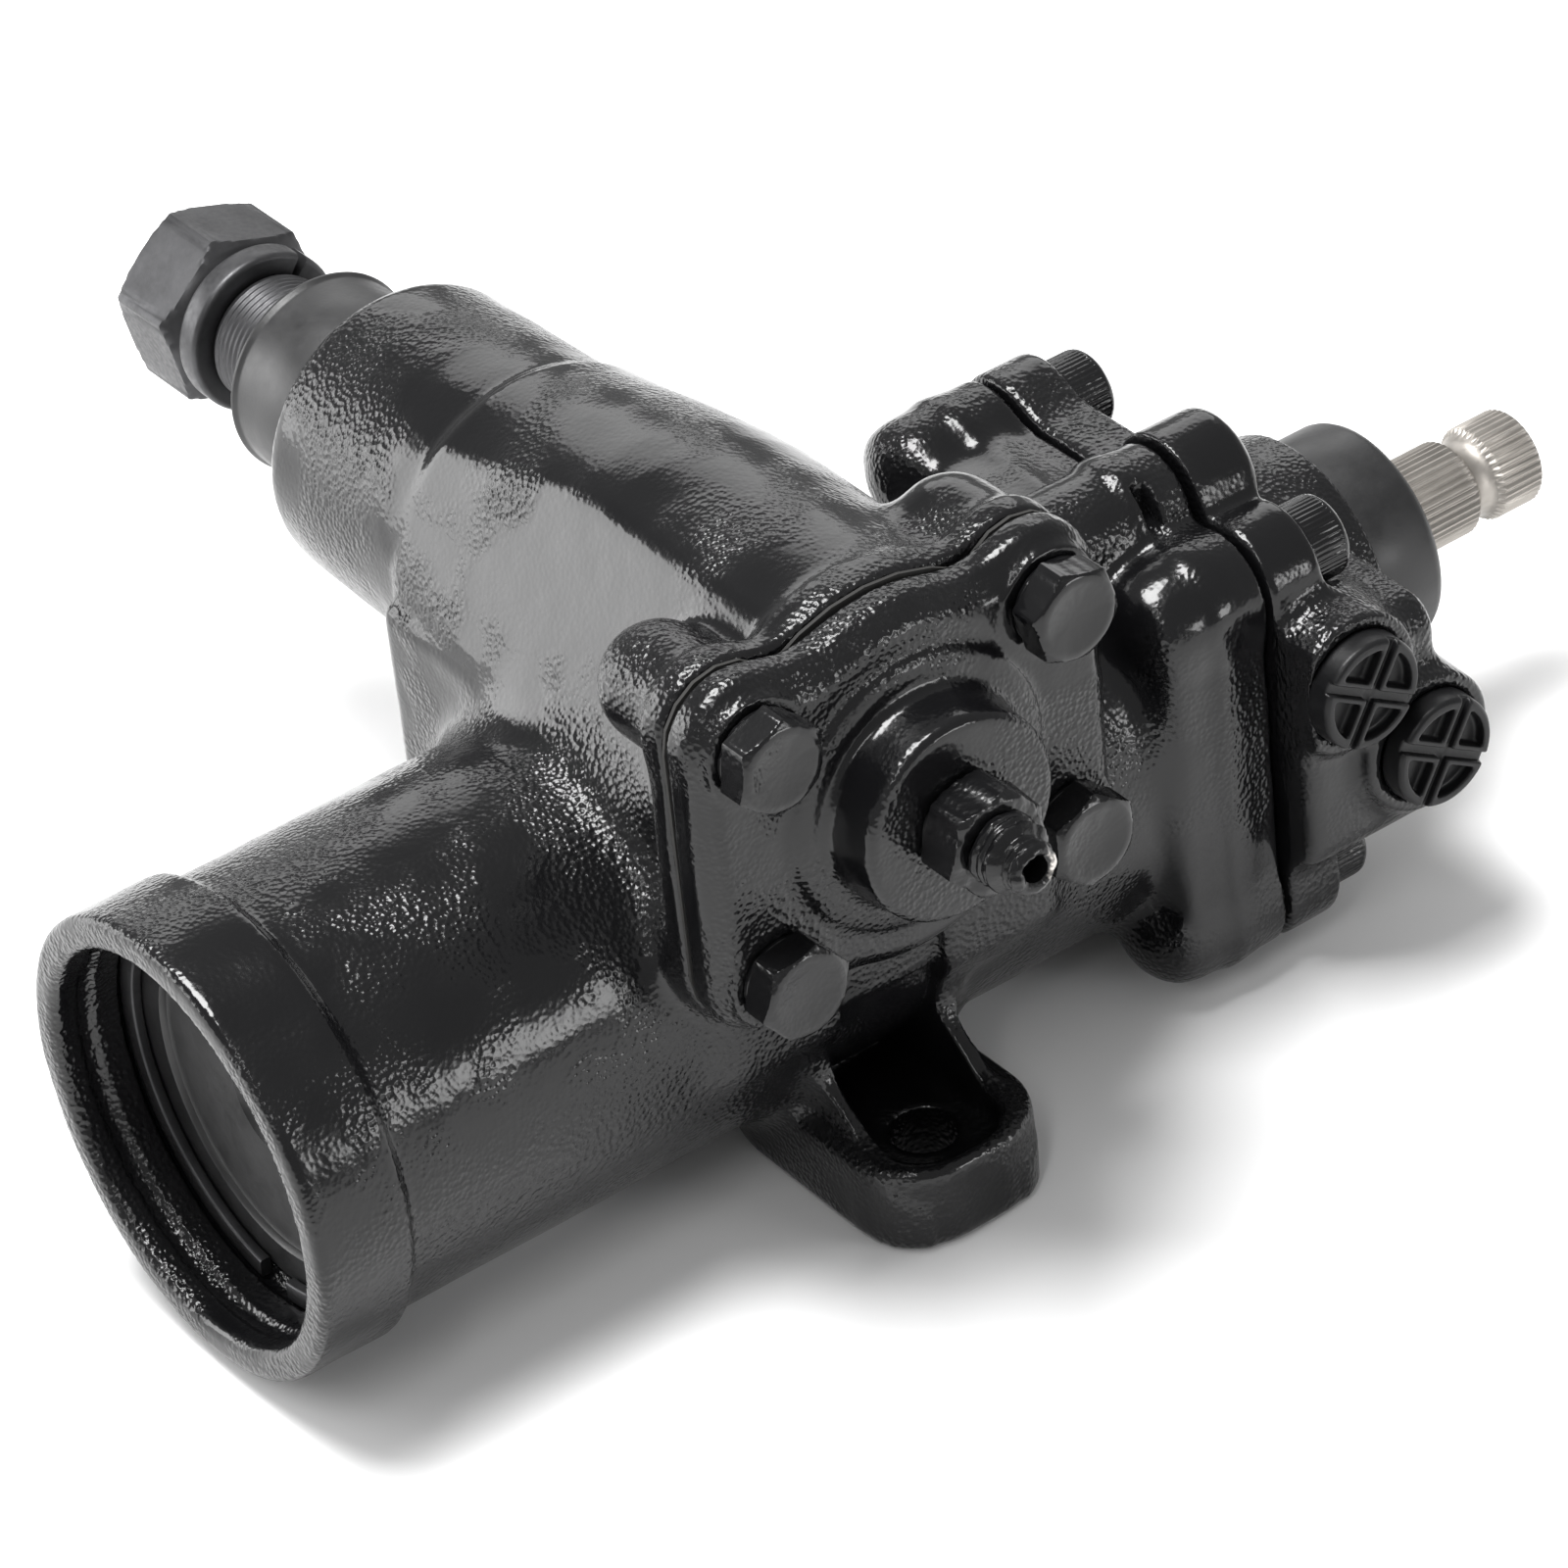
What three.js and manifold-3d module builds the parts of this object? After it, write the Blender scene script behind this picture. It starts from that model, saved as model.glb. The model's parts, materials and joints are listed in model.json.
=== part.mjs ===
// Power steering gearbox: a worm, a recirculating-ball rack piston and a sector shaft.
// Units are millimetres. Inside the gearbox group, X is the axis of the worm and of the
// piston bore, Y is the direction of the sector shaft, and Z is up. The outer group moves the
// assembly so that the origin is the bottom centre of its box.
import * as THREE from "three";
import { mergeVertices } from "three/addons/utils/BufferGeometryUtils.js";
import Module from "manifold-3d";

const wasm = await Module();
wasm.setup();

// ---------- driving dimensions ----------
const GAP = 0.3; // clearance between neighbouring parts
const FOOT_Z = -48; // plane that the mounting feet share

// piston bore and its open mouth
const MOUTH_X = -139.8;
const MOUTH_R = 38.7;
const COLLAR_R = 45.85;
const COLLAR_END_X = -119.9;
const BARREL_R = 43.4;
const BORE_R = 36;
const PLUG_X = [-122, -114];
const RING_T = 2.2; // thickness of the end plug's retaining ring
const SEAM_X = 75; // joint face between gear housing and valve housing
const SEAM_GAP = 0.82; // open groove between the two castings, outside the sealed spigot
const VALVE_FACE_X = SEAM_X + SEAM_GAP;

// sector shaft
const SECTOR_X = -14;
const SECTOR_Z = 46;
const TUBE_END_Y = 103.6;
const SHAFT_R = 16;
const TOWER_BACK_Y = 57;
const TOWER_FLAT_X = -50.5;
const TOWER_FLAT_TOP = [-30.5, 80.2]; // the sloping flat's upper edge, across the shaft
const TOWER_FLAT_FOOT = [-50.5, 45];
const TOWER_FLAT_END_Y = 48;
const TOWER_FLAT_WALL = 6; // iron left between the flat and the cavity
const CAVITY_R = 31;
const CAVITY_BACK_Y = 23;

// rack and sector teeth
const MODULE = 5;
const PITCH_R = 24;
const PRESSURE = THREE.MathUtils.degToRad(25);
const RACK_ADDENDUM = 4;
const RACK_DEDENDUM = 5;
const SECTOR_ADDENDUM = 4.5;
const SECTOR_DEDENDUM = 4.6;
const BACKLASH = 0.5; // taken off each sector tooth, measured round the pitch circle
const FACE_HALF = 20;
const RACK_Z = SECTOR_Z - PITCH_R;

// worm and balls
const LEAD = 9.42;
const BALL_R = 3;
const BALL_CIRCLE_R = 11;
const WORM_GROOVE_R = BALL_R + 0.7;
const NUT_GROOVE_R = BALL_R + 1.1;
const WORM_LAND_R = 10.4;
const NUT_LAND_R = 11.7;
const BALL_COUNT = 8;

// side cover
const COVER_FACE_Y = -47; // housing face under the gasket
const GASKET_T = 0.8;
const COVER_T = 9.7;
const LIP_T = 5.6;
const COVER_DISC_R = 38.2;
const COVER_LOBE_R = 13;
const COVER_BOLT = { dx: 32.2, dz: 24.4 };
const BOSS_R = 20.6;
const BOSS_END_Y = -71;
const ADJUSTER_END_Y = -92;
const BOLT_HOLE_END_Y = -35.5;
const BOLT_SHANK_R = 4.4;

// valve housing
const VALVE_SCREW = { y: 34.3, z: 34.5 };
const VALVE_LOBE_R = 11.5;
const EAR_X = 88.5;
const NECK_R = 27.5;
const NECK_END_X = 119.6;
const NOSE_R = 23;
const NOSE_END_X = 136.4;
const INPUT_END_X = 173;
const PORT_FACE_Y = -57;
const PORT_BORE_R = 9.6;
const PORT_SEAT_R = 11.9; // shallow seat for the fitting and for the shipping plug's head
const PORT_SEAT_DEEP = 1;
const PORTS = [
  { name: "pressure", x: 86, z: 17.5 },
  { name: "return", x: 102.5, z: -4 },
];

// pitman nut, 1-5/16 inch across flats
const NUT_FLATS = 33.3;
const NUT_Y = [153.5, 173.5];

// facets round a circle, by size of the feature
const LARGE = 32;
const MEDIUM = 24;
const SMALL = 20;
const FINE = 12;
const TINY = 8;
const HELIX = 12;

// ---------- solid helpers ----------
// A closed three.js geometry as a manifold-3d solid.
function solid(geometry) {
  const bare = geometry.clone();
  bare.deleteAttribute("normal");
  bare.deleteAttribute("uv");
  const merged = mergeVertices(bare, 1e-4);
  const triVerts = new Uint32Array(merged.index.array);
  const vertProperties = merged.attributes.position.array;
  const made = new wasm.Manifold(new wasm.Mesh({ numProp: 3, vertProperties, triVerts }));
  if (made.volume() >= 0) return made;
  for (let i = 0; i < triVerts.length; i += 3) {
    [triVerts[i + 1], triVerts[i + 2]] = [triVerts[i + 2], triVerts[i + 1]];
  }
  return new wasm.Manifold(new wasm.Mesh({ numProp: 3, vertProperties, triVerts }));
}

// A solid back as a three.js geometry.
function geometryOf(made) {
  const mesh = made.getMesh();
  const geometry = new THREE.BufferGeometry();
  geometry.setAttribute("position", new THREE.BufferAttribute(mesh.vertProperties, 3));
  geometry.setIndex(new THREE.BufferAttribute(mesh.triVerts, 1));
  geometry.computeVertexNormals();
  return geometry;
}

const AXIS_TURN = {
  x: new THREE.Matrix4().makeRotationZ(-Math.PI / 2),
  y: new THREE.Matrix4(),
  z: new THREE.Matrix4().makeRotationX(Math.PI / 2),
};

// Body of revolution: profile holds [along, radius] pairs, and at is where the axis passes.
function turned(axis, profile, at = [0, 0, 0], segments = MEDIUM) {
  const points = profile.map(([along, radius]) => new THREE.Vector2(radius, along));
  const geometry = new THREE.LatheGeometry(points, segments);
  geometry.applyMatrix4(AXIS_TURN[axis]);
  geometry.translate(...at);
  return solid(geometry);
}

function disc(axis, radius, low, high, at = [0, 0, 0], segments = SMALL) {
  return turned(axis, [[low, 0], [low, radius], [high, radius], [high, 0]], at, segments);
}

function ring(axis, outer, inner, low, high, at = [0, 0, 0], segments = MEDIUM) {
  const profile = [[low, inner], [low, outer], [high, outer], [high, inner], [low, inner]];
  return turned(axis, profile, at, segments);
}

function box(low, high) {
  const size = high.map((value, i) => value - low[i]);
  const geometry = new THREE.BoxGeometry(...size);
  geometry.translate(...high.map((value, i) => (value + low[i]) / 2));
  return solid(geometry);
}

const FRAME_OF = {
  x: new THREE.Matrix4().set(0, 0, 1, 0, 1, 0, 0, 0, 0, 1, 0, 0, 0, 0, 0, 1),
  y: new THREE.Matrix4().set(1, 0, 0, 0, 0, 0, -1, 0, 0, 1, 0, 0, 0, 0, 0, 1),
  z: new THREE.Matrix4(),
};

// Outline pulled along an axis. The outline is in (y, z) for x, (x, z) for y, (x, y) for z.
function pulled(axis, shape, low, high, curveSegments = 4) {
  const options = { depth: high - low, bevelEnabled: false, curveSegments };
  const geometry = new THREE.ExtrudeGeometry(shape, options);
  geometry.applyMatrix4(FRAME_OF[axis]);
  const start = axis === "y" ? high : low;
  geometry.translate(axis === "x" ? start : 0, axis === "y" ? start : 0, axis === "z" ? start : 0);
  return solid(geometry);
}

function polygon(count, radius, phase = 0, at = [0, 0]) {
  const points = [];
  for (let i = 0; i < count; i++) {
    const angle = phase + (2 * Math.PI * i) / count;
    points.push(new THREE.Vector2(at[0] + radius * Math.cos(angle), at[1] + radius * Math.sin(angle)));
  }
  return new THREE.Shape(points);
}

// Serrated outline: points alternate between the tip and root radii.
function splineShape(teeth, tip, root) {
  const points = [];
  for (let i = 0; i < 2 * teeth; i++) {
    const radius = i % 2 ? root : tip;
    const angle = (Math.PI * i) / teeth;
    points.push(new THREE.Vector2(radius * Math.cos(angle), radius * Math.sin(angle)));
  }
  return new THREE.Shape(points);
}

// Straight-sided slot with round ends between two points.
function capsule(a, b, radius) {
  const turn = Math.atan2(b[1] - a[1], b[0] - a[0]);
  const shape = new THREE.Shape();
  shape.absarc(b[0], b[1], radius, turn - Math.PI / 2, turn + Math.PI / 2, false);
  shape.absarc(a[0], a[1], radius, turn + Math.PI / 2, turn + (3 * Math.PI) / 2, false);
  return shape;
}

function union(solids) {
  return solids.reduce((all, next) => all.add(next));
}

function hexagonRadius(flats) {
  return flats / Math.sqrt(3);
}

// Hexagonal prism with its corners chamfered at the ends that are asked for.
function hexPrism(axis, flats, low, high, phase, at, chamferLow, chamferHigh) {
  const corner = hexagonRadius(flats);
  const prism = pulled(axis, polygon(6, corner, phase), low, high);
  const cut = 0.55 * (corner - flats / 2);
  const inside = flats / 2 - 0.4;
  const profile = [[low, 0]];
  profile.push([low, chamferLow ? inside : corner + 1]);
  if (chamferLow) profile.push([low + 2.2 * cut, corner + 0.3]);
  if (chamferHigh) profile.push([high - 2.2 * cut, corner + 0.3]);
  profile.push([high, chamferHigh ? inside : corner + 1]);
  profile.push([high, 0]);
  return prism.intersect(turned(axis, profile)).translate(...at);
}

// Screw-shaped solid about X: radiusAt gives the surface radius at each distance from the
// groove's centre line, as rows of one lead, and the rows climb one lead a turn.
function helicoid(rows, low, high, angleAtZero) {
  const columns = HELIX;
  const perLead = rows.length;
  const turns = Math.ceil((high - low) / LEAD) + 3;
  const total = perLead * turns;
  const start = Math.floor(low / LEAD - 1) * LEAD;
  const positions = [];
  const index = [];
  const at = (i, j) => (j === columns ? i + perLead : i) + (j === columns ? 0 : j) * (total + 1);
  for (let j = 0; j < columns; j++) {
    const angle = angleAtZero + (2 * Math.PI * j) / columns;
    for (let i = 0; i <= total; i++) {
      const row = rows[i % perLead];
      const x = start + LEAD * (Math.floor(i / perLead) + j / columns) + row[0];
      positions.push(x, row[1] * Math.cos(angle), row[1] * Math.sin(angle));
    }
  }
  const lowAxis = positions.length / 3;
  positions.push(start - LEAD, 0, 0);
  const highAxis = lowAxis + 1;
  positions.push(start + LEAD * (turns + 2), 0, 0);
  for (let j = 0; j < columns; j++) {
    const last = j === columns - 1 ? total - perLead : total;
    for (let i = 0; i < last; i++) {
      index.push(at(i, j), at(i + 1, j), at(i, j + 1));
      index.push(at(i + 1, j), at(i + 1, j + 1), at(i, j + 1));
    }
    index.push(lowAxis, at(0, j), at(0, j + 1));
    index.push(highAxis, at(last, j + 1), at(last, j));
  }
  for (let i = 0; i < perLead; i++) {
    index.push(lowAxis, i + 1, i);
    const edge = at(total - perLead + i, columns - 1);
    index.push(highAxis, edge, edge + 1);
  }
  const geometry = new THREE.BufferGeometry();
  geometry.setAttribute("position", new THREE.BufferAttribute(new Float32Array(positions), 3));
  geometry.setIndex(index);
  return solid(geometry);
}

// One lead of groove section: inward for the worm, outward for the nut.
function grooveRows(landR, grooveR, direction) {
  const edge = Math.sqrt(grooveR ** 2 - (landR - BALL_CIRCLE_R) ** 2);
  const rows = [];
  const steps = 3;
  for (let i = 0; i <= steps; i++) {
    const along = -edge * Math.cos((Math.PI * i) / steps);
    const depth = Math.sqrt(Math.max(grooveR ** 2 - along ** 2, 0));
    rows.push([along, BALL_CIRCLE_R + direction * depth]);
  }
  return rows;
}

// ---------- materials ----------
const MATERIALS = {
  black_paint: { color: 0x0b0b0c, roughness: 0.3, metalness: 0 },
  satin_black: { color: 0x101011, roughness: 0.5, metalness: 0 },
  rubber: { color: 0x141414, roughness: 0.65, metalness: 0 },
  black_plastic: { color: 0x0d0d0d, roughness: 0.4, metalness: 0 },
  gasket: { color: 0x2a2927, roughness: 0.8, metalness: 0 },
  phosphate_steel: { color: 0x3a3a3b, roughness: 0.5, metalness: 0.6 },
  bright_steel: { color: 0xb9b7b2, roughness: 0.35, metalness: 1 },
  bearing_steel: { color: 0x9a9a9c, roughness: 0.25, metalness: 1 },
  bronze: { color: 0x8c6a3a, roughness: 0.4, metalness: 1 },
  ptfe: { color: 0x6b5a3c, roughness: 0.5, metalness: 0 },
};

const shop = new THREE.Group(); // everything, in the shaft frame

function place(name, geometry, finish, position = [0, 0, 0], rotation = [0, 0, 0]) {
  const mesh = new THREE.Mesh(geometry, new THREE.MeshStandardMaterial(MATERIALS[finish]));
  mesh.name = name;
  mesh.position.set(...position);
  mesh.rotation.set(...rotation);
  shop.add(mesh);
}

function add(name, made, finish) {
  place(name, geometryOf(made), finish);
}

const onSector = [SECTOR_X, 0, SECTOR_Z];
const coverBolts = [];
for (const sx of [-1, 1]) {
  for (const sz of [-1, 1]) {
    coverBolts.push([SECTOR_X + sx * COVER_BOLT.dx, SECTOR_Z + sz * COVER_BOLT.dz]);
  }
}
const valveScrews = [];
for (const sy of [-1, 1]) {
  for (const sz of [-1, 1]) {
    valveScrews.push([sy * VALVE_SCREW.y, sz * VALVE_SCREW.z]);
  }
}

// ---------- side cover outline, shared by housing, gasket and cover ----------
function coverPlate(low, high, trim = 0) {
  const { dx, dz } = COVER_BOLT;
  const plates = [disc("y", COVER_DISC_R - trim, low, high, onSector, LARGE)];
  for (const sx of [-1, 1]) {
    const x = SECTOR_X + sx * dx;
    const side = capsule([x, SECTOR_Z - dz], [x, SECTOR_Z + dz], COVER_LOBE_R - trim);
    plates.push(pulled("y", side, low, high));
  }
  plates.push(box([SECTOR_X - dx, low, SECTOR_Z - dz - 9], [SECTOR_X + dx, high, SECTOR_Z + dz + 6]));
  return union(plates);
}

function coverBoltHoles(radius, low, high) {
  return union(coverBolts.map(([x, z]) => disc("y", radius, low, high, [x, 0, z], TINY)));
}

// ---------- valve flange outline ----------
function valveFlange(low, high, lobe = VALVE_LOBE_R) {
  const { y, z } = VALVE_SCREW;
  const shape = new THREE.Shape();
  shape.absarc(y, z, lobe, 0, Math.PI / 2, false);
  shape.absarc(-y, z, lobe, Math.PI / 2, Math.PI, false);
  shape.absarc(-y, -z, lobe, Math.PI, (3 * Math.PI) / 2, false);
  shape.absarc(y, -z, lobe, (3 * Math.PI) / 2, 2 * Math.PI, false);
  return pulled("x", shape, low, high, 3);
}

function valveScrewHoles(radius, low, high) {
  return union(valveScrews.map(([y, z]) => disc("x", radius, low, high, [0, y, z], TINY)));
}

// ---------- gear housing ----------
const LUG_X = -14;
const LUG_Y = -51;
const LUG_R = 19.5;
const REAR_LUGS = [[-62, 54], [34, 54]];

function frontLug() {
  const foot = capsule([LUG_X, LUG_Y], [LUG_X, -10], LUG_R);
  let lug = pulled("z", foot, FOOT_Z, FOOT_Z + 18);
  const rise = new THREE.Shape();
  rise.moveTo(LUG_Y - 14, FOOT_Z + 12);
  rise.lineTo(LUG_Y - 14, FOOT_Z + 20);
  rise.lineTo(LUG_Y + 24, 8);
  rise.lineTo(LUG_Y + 36, 8);
  rise.lineTo(LUG_Y + 36, FOOT_Z + 12);
  for (const side of [LUG_X - LUG_R + 0.5, LUG_X + LUG_R - 5.5]) {
    lug = lug.add(pulled("x", rise, side, side + 5));
  }
  const footprint = pulled("z", foot, FOOT_Z, 20);
  return lug.intersect(footprint);
}

function rearLug([x, y]) {
  const foot = pulled("z", capsule([x, y], [x, 10], 15), FOOT_Z, FOOT_Z + 18);
  return foot.add(box([x - 3, 20, FOOT_Z + 16], [x + 3, y - 6, -12]));
}

// Everything outside the tower's sloping flat, moved inwards by depth.
function outsideFlat(depth, low, high) {
  const [topX, topZ] = TOWER_FLAT_TOP;
  const [footX, footZ] = TOWER_FLAT_FOOT;
  const length = Math.hypot(topX - footX, topZ - footZ);
  const along = [(topX - footX) / length, (topZ - footZ) / length];
  const at = (up) => [topX + depth * along[1] + up * along[0], topZ - depth * along[0] + up * along[1]];
  const [upper, lower] = [at(25), at(-60)];
  const side = new THREE.Shape();
  side.moveTo(...upper);
  side.lineTo(...lower);
  side.lineTo(-95, lower[1]);
  side.lineTo(-95, upper[1]);
  return pulled("y", side, low, high);
}

function gearHousing() {
  const barrel = turned("x", [
    [MOUTH_X, 0], [MOUTH_X, COLLAR_R - 1.6], [MOUTH_X + 1.6, COLLAR_R], [COLLAR_END_X - 1.5, COLLAR_R],
    [COLLAR_END_X + 0.6, BARREL_R], [62, BARREL_R], [62, 0],
  ], [0, 0, 0], LARGE);
  const tube = turned("y", [
    [COVER_FACE_Y + 2, 0], [COVER_FACE_Y + 2, 37.6], [8, 38.4], [17, 38], [31, 36.3], [44, 34.2],
    [TOWER_BACK_Y, 31.8], [72, 31], [87, 30.6], [TUBE_END_Y - 1.8, 30.2], [TUBE_END_Y, 28.6],
    [TUBE_END_Y, 0],
  ], onSector, LARGE);
  const keep = box([TOWER_FLAT_X, -60, -60], [80, TOWER_BACK_Y + 0.5, 120]);
  const beyond = box([-80, TOWER_BACK_Y, -60], [80, 160, 120]);
  const skirt = box([TOWER_FLAT_X, COVER_FACE_Y + 2, 0], [SECTOR_X + 36, TOWER_BACK_Y, SECTOR_Z]);
  const tower = tube.intersect(keep.add(beyond)).add(skirt)
    .subtract(outsideFlat(0, COVER_FACE_Y, TOWER_FLAT_END_Y));
  const bulges = coverBolts.map(([x, z]) =>
    turned("y", [
      [COVER_FACE_Y + 1, 0], [COVER_FACE_Y + 1, 11.5], [-30, 11.5], [-25, 10], [-21.5, 6], [-20.5, 0],
    ], [x, 0, z], FINE));
  const flange = valveFlange(66, SEAM_X - 0.05);
  const lobes = valveScrews.map(([y, z]) =>
    turned("x", [
      [46, 0], [48, 7], [53, 11],
      [70, VALVE_LOBE_R - 0.1], [70, 0],
    ], [0, y, z], FINE));
  const block = valveFlange(50, 67, 6.5);
  const crest = turned("x", [[34, 0], [36, 8], [41, 11], [SEAM_X - 0.05, 11.5], [SEAM_X - 0.05, 0]],
    [0, -15, 44], FINE);
  let body = union([
    barrel, tower, coverPlate(COVER_FACE_Y, COVER_FACE_Y + LIP_T), ...bulges, flange, ...lobes,
    block, crest, frontLug(), ...REAR_LUGS.map(rearLug),
  ]);
  const bores = [
    disc("x", BORE_R, MOUTH_X + 8, SEAM_X + 5, [0, 0, 0], LARGE),
    turned("x", [
      [MOUTH_X - 5, 0], [MOUTH_X - 5, MOUTH_R + 0.9], [MOUTH_X, MOUTH_R + 0.9], [MOUTH_X + 1, MOUTH_R],
      [PLUG_X[1] + GAP, MOUTH_R], [PLUG_X[1] + GAP, 0],
    ], [0, 0, 0], LARGE),
    disc("x", MOUTH_R + 2, PLUG_X[0] - GAP - RING_T - GAP, PLUG_X[0] - 0.05, [0, 0, 0], LARGE),
    disc("x", MOUTH_R + 1.1, MOUTH_X + 5.5, MOUTH_X + 8.2, [0, 0, 0], LARGE),
    disc("y", CAVITY_R, COVER_FACE_Y - 5, CAVITY_BACK_Y, onSector, MEDIUM).intersect(
      box([SECTOR_X - 29, COVER_FACE_Y - 6, -20], [SECTOR_X + 40, CAVITY_BACK_Y + 1, 120]))
      .subtract(outsideFlat(TOWER_FLAT_WALL, COVER_FACE_Y + LIP_T, CAVITY_BACK_Y + 2)),
    disc("y", 19.8, CAVITY_BACK_Y - 5, 47, onSector, SMALL),
    disc("y", SHAFT_R + 0.8, 40, 75, onSector, SMALL),
    disc("y", 19.8, 69.7, 90, onSector, SMALL),
    disc("y", 20.6, 88.7, TUBE_END_Y + 5, onSector, SMALL),
    coverBoltHoles(4.9, COVER_FACE_Y - 5, BOLT_HOLE_END_Y),
    valveScrewHoles(4.9, 58, SEAM_X + 5),
    disc("z", 6.3, FOOT_Z - 2, FOOT_Z + 22, [LUG_X, LUG_Y + 2, 0], TINY),
    ...REAR_LUGS.map(([x, y]) => disc("z", 6.3, FOOT_Z - 2, FOOT_Z + 22, [x, y, 0], TINY)),
  ];
  body = body.subtract(union(bores));
  return body;
}
add("gear_housing", gearHousing(), "black_paint");

// ---------- end plug in the mouth ----------
add("end_plug", turned("x", [
  [PLUG_X[0] + 1.5, 0], [PLUG_X[0] + 1.5, 30], [PLUG_X[0], 31], [PLUG_X[0], MOUTH_R - GAP],
  [PLUG_X[0] + 2.6, MOUTH_R - GAP], [PLUG_X[0] + 2.6, MOUTH_R - 2.8], [PLUG_X[0] + 5.6, MOUTH_R - 2.8],
  [PLUG_X[0] + 5.6, MOUTH_R - GAP], [PLUG_X[1], MOUTH_R - GAP], [PLUG_X[1], 0],
], [0, 0, 0], LARGE), "satin_black");
add("end_plug_o_ring", ring("x", MOUTH_R - 0.3, MOUTH_R - 2.5, PLUG_X[0] + 2.9, PLUG_X[0] + 5.3,
  [0, 0, 0], LARGE), "rubber");
const snapX = PLUG_X[0] - GAP - RING_T;
add("end_plug_retaining_ring", ring("x", MOUTH_R + 1.7, MOUTH_R - 2.4, snapX, snapX + RING_T,
  [0, 0, 0], LARGE).subtract(box([snapX - 1, -4, -MOUTH_R - 4], [snapX + RING_T + 1, 4, -MOUTH_R + 8])),
"phosphate_steel");

// ---------- side cover ----------
const coverBack = COVER_FACE_Y - GASKET_T - 0.1;
const coverFront = coverBack - COVER_T;
add("side_cover_gasket", coverPlate(coverBack + 0.1, COVER_FACE_Y - 0.1, 0.4)
  .subtract(disc("y", CAVITY_R + 0.6, coverBack - 2, COVER_FACE_Y + 2, onSector, MEDIUM))
  .subtract(coverBoltHoles(5.2, coverBack - 2, COVER_FACE_Y + 2)), "gasket");

function sideCover() {
  const boss = turned("y", [
    [BOSS_END_Y, 0], [BOSS_END_Y, BOSS_R - 1.6], [BOSS_END_Y + 1.6, BOSS_R],
    [coverFront - 2.2, BOSS_R + 0.8], [coverFront - 2, 25.5], [coverFront - 0.6, 27],
    [coverBack - 2, 27], [coverBack - 2, 0],
  ], onSector, MEDIUM);
  const hole = turned("y", [
    [coverBack + 3, 0], [coverBack + 3, 17.8], [-65.5, 17.8], [-65.5, 5.8], [BOSS_END_Y - 3, 5.8],
    [BOSS_END_Y - 3, 0],
  ], onSector, SMALL);
  return coverPlate(coverFront, coverBack).add(boss).subtract(hole)
    .subtract(coverBoltHoles(5.2, coverFront - 3, coverBack + 3));
}
add("side_cover", sideCover(), "black_paint");
add("side_cover_bushing", ring("y", 17.5, SHAFT_R + 0.3, -64.5, coverBack - 1, onSector), "bronze");

const BOLT_HEAD_T = 7.6;
const boltGeometry = geometryOf(
  hexPrism("y", 17, -BOLT_HEAD_T, 0, Math.PI / 6, [0, 0, 0], true, false)
    .add(disc("y", BOLT_SHANK_R, -1, BOLT_HOLE_END_Y - coverFront - 0.3, [0, 0, 0], TINY)));
coverBolts.forEach(([x, z], i) => {
  const turn = [0.35, 1.2, 0.1, 0.8][i];
  place(`cover_bolt_${i + 1}`, boltGeometry, "black_paint", [x, coverFront - 0.3, z], [0, turn, 0]);
});

// ---------- lash adjuster ----------
const adjuster = turned("y", [
  [ADJUSTER_END_Y, 0], [ADJUSTER_END_Y, 4.2], [ADJUSTER_END_Y + 1.5, 5.5], [-60, 5.5], [-60, 8],
  [-56, 8], [-56, 0],
], onSector, FINE).subtract(pulled("y", polygon(6, 3.2, 0.3, [SECTOR_X, SECTOR_Z]),
  ADJUSTER_END_Y - 1, ADJUSTER_END_Y + 6));
add("lash_adjuster_screw", adjuster, "phosphate_steel");
const lockNut = hexPrism("y", 19, BOSS_END_Y - 10.3, BOSS_END_Y - 0.3, 0.25, onSector, true, false)
  .subtract(disc("y", 5.8, BOSS_END_Y - 12, BOSS_END_Y + 2, onSector, FINE));
add("adjuster_lock_nut", lockNut, "black_paint");

// ---------- sector shaft ----------
const involute = (angle) => Math.tan(angle) - angle;

// Outline of the sector: a hub with three involute teeth that point down at rest.
function sectorShape() {
  const base = PITCH_R * Math.cos(PRESSURE);
  const tip = PITCH_R + SECTOR_ADDENDUM;
  const root = PITCH_R - SECTOR_DEDENDUM;
  const pitchAngle = (Math.PI * MODULE) / PITCH_R;
  const halfTooth = pitchAngle / 4 - BACKLASH / 2 / PITCH_R;
  const flank = [];
  const steps = 6;
  for (let i = 0; i <= steps; i++) {
    const radius = base + ((tip - base) * i) / steps;
    const along = Math.acos(Math.min(1, base / radius));
    flank.push([radius, halfTooth + involute(PRESSURE) - involute(along)]);
  }
  const points = [];
  const put = (radius, angle) => {
    points.push(new THREE.Vector2(SECTOR_X + radius * Math.sin(angle), SECTOR_Z - radius * Math.cos(angle)));
  };
  for (let tooth = -1; tooth <= 1; tooth++) {
    const middle = tooth * pitchAngle;
    put(root, middle - flank[0][1] - 0.02);
    flank.forEach(([radius, half]) => put(radius, middle - half));
    [...flank].reverse().forEach(([radius, half]) => put(radius, middle + half));
    put(root, middle + flank[0][1] + 0.02);
  }
  const last = pitchAngle + flank[0][1] + 0.02;
  const rest = 2 * Math.PI - 2 * last;
  for (let i = 1; i < 14; i++) put(i > 1 && i < 13 ? SHAFT_R + 1 : root, last + (rest * i) / 14);
  return new THREE.Shape(points);
}

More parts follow.
